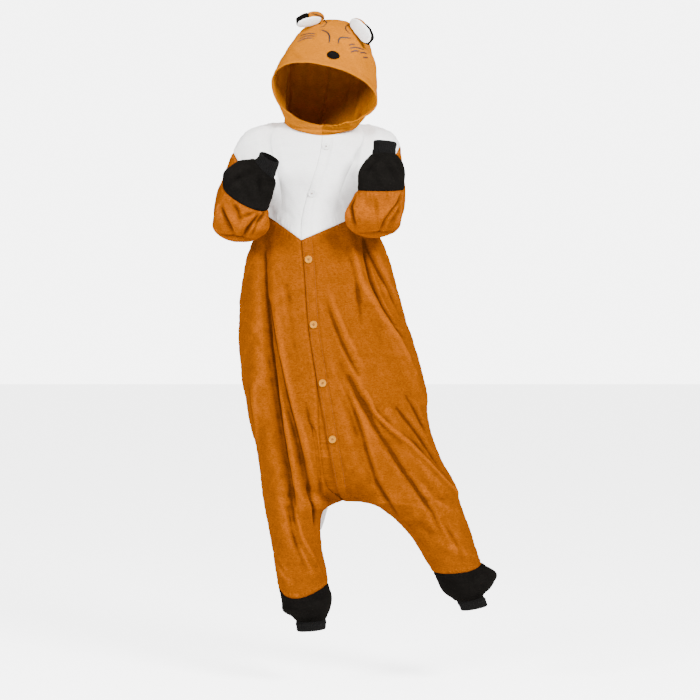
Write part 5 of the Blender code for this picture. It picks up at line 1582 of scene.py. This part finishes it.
def make_ear(side):
    """Padded ear: orange back, black tip and the white inner on its front."""
    rows, way = EARS[side]
    surface = rolled(rows, padded_form(rows, way), EAR_TIP, EAR_ROW)
    tree = rays("hood_face_cloth", "hood_near_cloth", "hood_far_cloth")
    root = root_on(tree, Vector(unit(rows[1, 0:3] - rows[0, 0:3])))
    ends, gap = len(rows) - 1, SEAM_GAP / 2 / EAR_ROW
    body_at = np.linspace(0.0, EAR_TIP - gap, EAR_RINGS[0])
    stuffed(f"ear_{side}_padded", f"ear_{side}", surface, body_at, "hood fleece", root)
    tip_at = np.linspace(EAR_TIP + gap, ends, EAR_RINGS[1])
    stuffed(f"ear_tip_{side}_padded", f"ear_tip_{side}", surface, tip_at, "black fleece")

    def axes_at(turn, at):
        along, down, inward = frame_at(surface, turn, at, tube_limits(ends))
        return along, down, -inward

    def patch(u, v):
        first, last = EAR_INNER[side]
        middle, half = (first + last) / 2 / EAR_COLUMNS, (last - first) / 2 / EAR_COLUMNS
        start, end = EAR_INNER_ROWS
        narrow = np.sqrt(1.0 - PATCH_ROUND * v**2), np.sqrt(1.0 - PATCH_ROUND * u**2)
        return middle + half * u * narrow[0], (start + end) / 2 + (end - start) / 2 * v * narrow[1]

    def edged(u, v, points):
        rim = np.minimum.reduce(list(edge_lengths(points).values()))
        return -PATCH_ROLL * smooth(PATCH_ROLL_REACH, 0.0, rim) ** 2

    places = np.linspace(-1.0, 1.0, PATCH_GRID + 1)
    wall = bpy.context.scene.fox_trims.ear_inner
    cloth(f"ear_inner_{side}", lambda u, v: surface(*patch(u, v)), lambda u, v: axes_at(*patch(u, v)), places, places,
          "white fleece", wall=wall, lift=wall + SEAM_GAP, relief=edged)


def make_nose():
    """The oval nose patch, laid on the face panel with its edge sewn down."""
    tree = rays("hood_face_cloth")
    turn, at = np.meshgrid(np.linspace(*NOSE_TURNS), np.linspace(*NOSE_LOOPS))
    points = hood(turn, at)
    off = np.hypot(points[..., 0] - NOSE_PLACE[0], points[..., 2] - NOSE_PLACE[1])
    best = np.unravel_index(np.argmin(off), off.shape)
    _, _, normal = hood_axes(turn[best], at[best])
    across = unit(np.array(NOSE_WIDE_WAY))
    across = unit(across - normal * (across @ normal))
    upward = np.cross(normal, across)

    def surface(u, v):
        aside = u * np.sqrt(1.0 - v**2 / 2) * NOSE_SIZE[0]
        up = v * np.sqrt(1.0 - u**2 / 2) * NOSE_SIZE[1]
        flat = points[best] + aside[..., None] * across + up[..., None] * upward
        reach = [seat(tree, point, normal) for point in flat.reshape(-1, 3)]
        return flat + np.array(reach).reshape(u.shape)[..., None] * normal

    def axes_at(u, v):
        return tuple(np.broadcast_to(way, u.shape + (3,)) for way in (across, upward, normal))

    def domed(u, v, points):
        out = np.sqrt(np.clip(u**2 + v**2 - u**2 * v**2, 0.0, 1.0))
        return NOSE_DOME * (1.0 - out**2) - NOSE_STITCH * np.exp(-(((out - NOSE_STITCH_AT) / NOSE_STITCH_WIDTH) ** 2))

    places, wall = np.linspace(-1.0, 1.0, PATCH_GRID + 1), bpy.context.scene.fox_trims.nose_wall
    cloth("nose", surface, axes_at, places, places, "black fleece", wall=wall, lift=wall + SEAM_GAP, relief=domed)


def seen_line(path):
    """Points along a smooth line in x and z, evenly spaced."""
    points = read(path, np.linspace(0.0, len(path) - 1.0, LINE_POINTS))
    lengths = lengths_along(points)
    places = np.linspace(0.0, lengths[-1], max(8, round(lengths[-1] / LINE_STEP)))
    return values_along(places, lengths, points)


def join(meshes):
    """One bmesh from several."""
    whole = bmesh.new()
    for mesh in meshes:
        data = as_data(mesh, "part")
        whole.from_mesh(data)
        bpy.data.meshes.remove(data)
    return whole


def satin_line(tree, path, half_width):
    """A closed roll of satin stitches along a line, laid on the cloth that is seen there from the front."""
    line = seen_line(path)
    hits = [tree.ray_cast(Vector((x, -1.0, z)), Vector((0.0, 1.0, 0.0))) for x, z in line]
    points = np.array([hit[0] for hit in hits])
    normal = unit(np.array([hit[1] if hit[1].y < 0.0 else -hit[1] for hit in hits]))
    along = unit(np.gradient(points, axis=0))
    aside = unit(np.cross(along, normal))

    def surface(turn, at):
        row = np.rint(at).astype(int)
        share = at / (len(line) - 1)
        taper = np.sqrt(np.clip(4.0 * share * (1.0 - share), SATIN_END, 1.0)) ** 0.5
        stitch = 1.0 + SATIN_RIDGE * np.cos(np.pi * row)
        angle = 2 * math.pi * turn
        out = aside[row] * (np.cos(angle) * half_width * taper * stitch)[..., None]
        return points[row] + out + normal[row] * (np.sin(angle) * SATIN_HEIGHT * taper * stitch)[..., None]

    return ring_form(surface, np.arange(len(line), dtype=float), SATIN_COLUMNS)[0]


def make_embroidery():
    """Closed eyes, whiskers and a dark thread of painted shadow round the roots of the ears."""
    face = ("hood_face_cloth", "hood_near_cloth", "hood_far_cloth")
    tree = rays(*face, "ear_near_padded", "ear_far_padded")
    for name, lines, half_width, finish in (
        ("eyes_embroidered", EYES, EYE_LINE, "eye thread"),
        ("whiskers_embroidered", WHISKERS, WHISKER_LINE, "whisker thread"),
        ("ear_roots_embroidered", EAR_SHADOW_LOOPS, EAR_SHADOW_HALF_WIDTH, "eye thread"),
    ):
        show(join([satin_line(tree, path, half_width) for path in lines]), name, finish)


def button_form():
    """A dished button on +Z with four holes through it, as mesh data."""
    trims = bpy.context.scene.fox_trims
    mesh = bmesh.new()
    profile = [(0.0, 0.0), *BUTTON_SPUN, (0.0, BUTTON_SPUN[-1][1])]
    last = None
    for radius, high in profile:
        vert = mesh.verts.new((radius * trims.button_radius, 0.0, high * trims.button_height))
        if last:
            mesh.edges.new((last, vert))
        last = vert
    bmesh.ops.spin(
        mesh, geom=mesh.verts[:] + mesh.edges[:], cent=(0, 0, 0), axis=(0, 0, 1), angle=2 * math.pi,
        steps=BUTTON_STEPS, use_merge=True,
    )
    bmesh.ops.remove_doubles(mesh, verts=mesh.verts[:], dist=1e-6)
    bmesh.ops.recalc_face_normals(mesh, faces=mesh.faces[:])
    holes = bmesh.new()
    for number in range(BUTTON_HOLES):
        angle = math.pi / 4 + number * math.pi / 2
        offset = Vector((math.cos(angle), math.sin(angle), 0.0)) * HOLES_OUT * trims.hole_radius
        bmesh.ops.create_cone(
            holes, cap_ends=True, segments=HOLE_STEPS, radius1=trims.hole_radius, radius2=trims.hole_radius,
            depth=4 * trims.button_height, matrix=Matrix.Translation(offset),
        )
    made = []
    for form in (mesh, holes):
        made.append(bpy.data.objects.new("button", as_data(form, "button")))
        bpy.context.scene.collection.objects.link(made[-1])
    cut = made[0].modifiers.new("Holes", "BOOLEAN")
    cut.operation, cut.object, cut.solver = "DIFFERENCE", made[1], "EXACT"
    evaluated = made[0].evaluated_get(bpy.context.evaluated_depsgraph_get())
    button = bpy.data.meshes.new_from_object(evaluated)
    for item in made:
        bpy.data.objects.remove(item, do_unlink=True)
    return button


def make_buttons():
    """Six buttons sewn on the placket with crossed thread."""
    surface, axes_at = body_surface("far")
    trims, wall = bpy.context.scene.fox_trims, bpy.context.scene.fox_cloth.wall
    tree = rays("placket_chest_cloth", "placket_body_cloth")
    heights = np.linspace(-1.0, PLACKET_END, LINE_STEPS)
    drop = surface(np.zeros_like(heights), heights)[:, 2]
    share = np.array(FIRST_COLUMN * BUTTON_FROM_EDGE / PLACKET_WIDTH)
    form, sewn = button_form(), bmesh.new()
    for number, height in enumerate(BUTTON_HEIGHTS):
        at = np.array(np.interp(-height, -drop, heights))
        _, down, normal = (Vector(way) for way in axes_at(share, at))
        across = normal.cross(down).normalized()
        middle = Vector(surface(share, at)) + normal * (2 * wall + SEAM_GAP)
        angles = np.arange(BUTTON_SEATS) * 2 * math.pi / BUTTON_SEATS
        rim = [trims.button_radius * (down * math.cos(a) + across * math.sin(a)) for a in angles]
        raised = [seat(tree, middle + step, normal) for step in rim + [Vector((0, 0, 0))]]
        base = middle + normal * (max(lift for lift in raised if lift is not None) + SEAM_GAP)
        turned = Matrix.Rotation(BUTTON_TURNS[number], 4, normal)
        place = Matrix.Translation(base) @ turned @ Matrix((across, -down, normal)).transposed().to_4x4()
        data = form.copy()
        data.transform(place)
        data.shade_smooth()
        node = f"button_{number + 1}"
        item = dress(bpy.data.objects.new(f"{node}_moulded", data),
                     "white button" if number < WHITE_BUTTONS else "yellow button", (node,))
        round_edges = item.modifiers.new("Edges", "BEVEL")
        round_edges.width, round_edges.segments, round_edges.limit_method = BUTTON_EDGE, 2, "ANGLE"
        reach = HOLES_OUT * trims.hole_radius
        top = BUTTON_SPUN[-1][1] * trims.button_height
        for way in (math.pi / 4, -math.pi / 4):
            for strand in (-1, 1):
                offset = Vector((-math.sin(way), math.cos(way), 0.0)) * strand * trims.thread
                lie = Matrix.Translation(offset + Vector((0.0, 0.0, top)))
                long = Matrix.Rotation(way, 4, "Z") @ Matrix.Diagonal((reach, trims.thread, trims.thread, 1.0))
                bmesh.ops.create_icosphere(sewn, subdivisions=2, radius=1.0, matrix=place @ lie @ long)
    bpy.data.meshes.remove(form)
    show(sewn, "button_thread", "orange thread")


def stitches(mesh, tree, points, normal):
    """Adds a row of stitches along points on cloth, seated on the tree."""
    trims = bpy.context.scene.fox_trims
    lengths = lengths_along(points)
    places = np.arange(trims.stitch / 2, lengths[-1], trims.stitch)
    centre, way, out = (
        values_along(places, lengths, values) for values in (points, np.gradient(points, axis=0), normal)
    )
    for middle, along, up in zip(centre, unit(way), unit(out)):
        reach = seat(tree, middle, up)
        if reach is None or abs(reach) > STITCH_OFF:
            continue
        along = unit(along - up * (along @ up))
        turned = Matrix((along, np.cross(up, along), up)).transposed().to_4x4()
        size = Matrix.Diagonal((STITCH_HALF * trims.stitch, trims.thread, trims.thread, 1.0))
        place = Matrix.Translation(Vector(middle + up * reach)) @ turned @ size
        bmesh.ops.create_icosphere(mesh, subdivisions=1, radius=1.0, matrix=place)


def make_stitching():
    """Topstitching of the placket and of the hood's rim."""
    surface, axes_at = body_surface("far")
    for name, low, high, finish in (
        ("chest", PLACKET_DROP - 1.0, 0.0, "white thread"),
        ("body", 0.0, PLACKET_END, "orange thread"),
    ):
        tree, mesh = rays(f"placket_{name}_cloth"), bmesh.new()
        at = np.linspace(low, high, PLACKET_POINTS)
        for off in (BAND_STITCH, PLACKET_WIDTH - BAND_STITCH):
            share = np.full_like(at, FIRST_COLUMN * (1.0 - off / PLACKET_WIDTH))
            stitches(mesh, tree, surface(share, at), axes_at(share, at)[2])
        show(mesh, f"placket_{name}_stitches", finish)
    tree, mesh = rays("hood_face_cloth"), bmesh.new()
    turn = np.linspace(*RIM_ENDS, RIM_POINTS)
    zero = np.zeros_like(turn)
    depth = np.linalg.norm(hood(turn, zero + RIM_LOOP) - hood(turn, zero), axis=-1)
    at = RIM_LOOP * (HEM_WIDTH - HEM_STITCH) / depth
    stitches(mesh, tree, hood(turn, at), hood_axes(turn, at)[2])
    show(mesh, "hood_stitches", "orange thread")


class FOX_OT_body(bpy.types.Operator):
    """Make the chest, front and back of each half"""

    bl_idname = "fox.body"
    bl_label = "Body"

    def execute(self, context):
        for side in SIDES:
            make_body(side)
        return {"FINISHED"}


class FOX_OT_placket(bpy.types.Operator):
    """Make the button band and the strip behind the opening"""

    bl_idname = "fox.placket"
    bl_label = "Placket"

    def execute(self, context):
        make_placket()
        return {"FINISHED"}


class FOX_OT_legs(bpy.types.Operator):
    """Make the black leg ends and the ankle cuffs"""

    bl_idname = "fox.legs"
    bl_label = "Leg ends and ankle cuffs"

    def execute(self, context):
        for side in SIDES:
            make_leg_end(side)
        return {"FINISHED"}


class FOX_OT_sleeves(bpy.types.Operator):
    """Make the sleeves, their black ends and the wrist cuffs"""

    bl_idname = "fox.sleeves"
    bl_label = "Sleeves and wrist cuffs"

    def execute(self, context):
        for side in SIDES:
            make_sleeve(side)
        return {"FINISHED"}


class FOX_OT_hood(bpy.types.Operator):
    """Make the face panel and the two back panels of the hood"""

    bl_idname = "fox.hood"
    bl_label = "Hood"

    def execute(self, context):
        make_hood()
        return {"FINISHED"}


class FOX_OT_ears(bpy.types.Operator):
    """Make the two padded ears with their white inners"""

    bl_idname = "fox.ears"
    bl_label = "Ears"

    def execute(self, context):
        for side in SIDES:
            make_ear(side)
        return {"FINISHED"}


class FOX_OT_face(bpy.types.Operator):
    """Make the nose, the closed eyes and the whiskers"""

    bl_idname = "fox.face"
    bl_label = "Face"

    def execute(self, context):
        make_nose()
        make_embroidery()
        return {"FINISHED"}


class FOX_OT_buttons(bpy.types.Operator):
    """Make the six buttons and the thread that holds them"""

    bl_idname = "fox.buttons"
    bl_label = "Buttons"

    def execute(self, context):
        make_buttons()
        return {"FINISHED"}


class FOX_OT_tail(bpy.types.Operator):
    """Make the padded tail with its white tip"""

    bl_idname = "fox.tail"
    bl_label = "Tail"

    def execute(self, context):
        make_tail()
        return {"FINISHED"}


class FOX_OT_stitching(bpy.types.Operator):
    """Make the topstitching of the placket and the hood"""

    bl_idname = "fox.stitching"
    bl_label = "Topstitching"

    def execute(self, context):
        make_stitching()
        return {"FINISHED"}


def lamp(name, power, size, place, aim):
    """A soft square light that points at a place."""
    data = bpy.data.lights.new(name, "AREA")
    data.shape, data.size, data.energy = "SQUARE", size, power
    item = bpy.data.objects.new(name, data)
    item.location = place
    item.rotation_euler = (Vector(aim) - Vector(place)).to_track_quat("-Z", "Y").to_euler()
    bpy.context.scene.collection.objects.link(item)


def seen_brighter(tree, shader, strength, light, seen):
    """Gives a shader one strength as a light and another where the camera sees it."""
    path, chosen = nodes_of(tree, "LightPath", "MapRange")
    give(chosen, {"To Min": light, "To Max": seen})
    wire(tree, (path, "Is Camera Ray", chosen, "Value"), (chosen, "Result", shader, strength))


class FOX_OT_stage(bpy.types.Operator):
    """Make the camera, the pale floor, the surround and the soft lights"""

    bl_idname = "fox.stage"
    bl_label = "Stage"

    def execute(self, context):
        stage = context.scene.fox_stage
        data = bpy.data.cameras.new("camera")
        data.lens = stage.lens
        camera = bpy.data.objects.new("camera", data)
        camera.location = (stage.aim_x, -stage.distance, stage.aim_z)
        camera.rotation_euler = (math.pi / 2, 0.0, 0.0)
        context.scene.collection.objects.link(camera)
        context.scene.camera = camera
        mesh = bmesh.new()
        bmesh.ops.create_grid(
            mesh, x_segments=8, y_segments=8, size=40.0, matrix=Matrix.Translation((0.0, 0.0, stage.floor_level))
        )
        floor = bpy.data.objects.new("floor", as_data(mesh, "floor"))
        context.scene.collection.objects.link(floor)
        pale, _, shader = shaded("floor", stage.floor_colour, 0.9)
        give(shader, {"Specular IOR Level": 0.0, "Emission Color": (1.0, 1.0, 1.0, 1.0)})
        seen_brighter(pale.node_tree, shader, "Emission Strength", stage.floor_glow, stage.floor_seen)
        floor.data.materials.append(pale)
        world = bpy.data.worlds.new("surround")
        world.use_nodes = True
        background = world.node_tree.nodes["Background"]
        give(background, {"Color": (1.0, 1.0, 1.0, 1.0)})
        seen_brighter(world.node_tree, background, "Strength", stage.surround, stage.backdrop)
        context.scene.world = world
        middle = (stage.aim_x, 0.0, stage.aim_z)
        lamp("key", stage.key, 1.2, (2.3, -3.3, 1.9), middle)
        lamp("fill", stage.fill, 1.4, (-2.9, -2.9, 1.3), middle)
        return {"FINISHED"}


class FOX_PT_onesie(bpy.types.Panel):
    """Sizes, colours and makers of the onesie"""

    bl_label = "Fox Onesie"
    bl_space_type = "VIEW_3D"
    bl_region_type = "UI"
    bl_category = "Onesie"

    def draw(self, context):
        for group in (context.scene.fox_cloth, context.scene.fox_trims, context.scene.fox_stage):
            box = self.layout.box()
            for name in group.__annotations__:
                box.prop(group, name)
        for operator in OPERATORS:
            self.layout.operator(operator.bl_idname)


SETTINGS = {"fox_cloth": FoxCloth, "fox_trims": FoxTrims, "fox_stage": FoxStage}
OPERATORS = (
    FOX_OT_stage,
    FOX_OT_body,
    FOX_OT_placket,
    FOX_OT_legs,
    FOX_OT_sleeves,
    FOX_OT_hood,
    FOX_OT_ears,
    FOX_OT_face,
    FOX_OT_buttons,
    FOX_OT_tail,
    FOX_OT_stitching,
)


def register():
    for kind in (*SETTINGS.values(), *OPERATORS, FOX_PT_onesie):
        bpy.utils.register_class(kind)
    for name, kind in SETTINGS.items():
        setattr(bpy.types.Scene, name, PointerProperty(type=kind))


def unregister():
    for name in SETTINGS:
        delattr(bpy.types.Scene, name)
    for kind in reversed((*SETTINGS.values(), *OPERATORS, FOX_PT_onesie)):
        bpy.utils.unregister_class(kind)


def main():
    register()
    bpy.ops.fox.stage()
    bpy.ops.fox.body()
    bpy.ops.fox.placket()
    bpy.ops.fox.legs()
    bpy.ops.fox.sleeves()
    bpy.ops.fox.hood()
    bpy.ops.fox.ears()
    bpy.ops.fox.face()
    bpy.ops.fox.buttons()
    bpy.ops.fox.tail()
    bpy.ops.fox.stitching()
    bpy.context.view_layer.update()


if __name__ == "__main__":
    main()
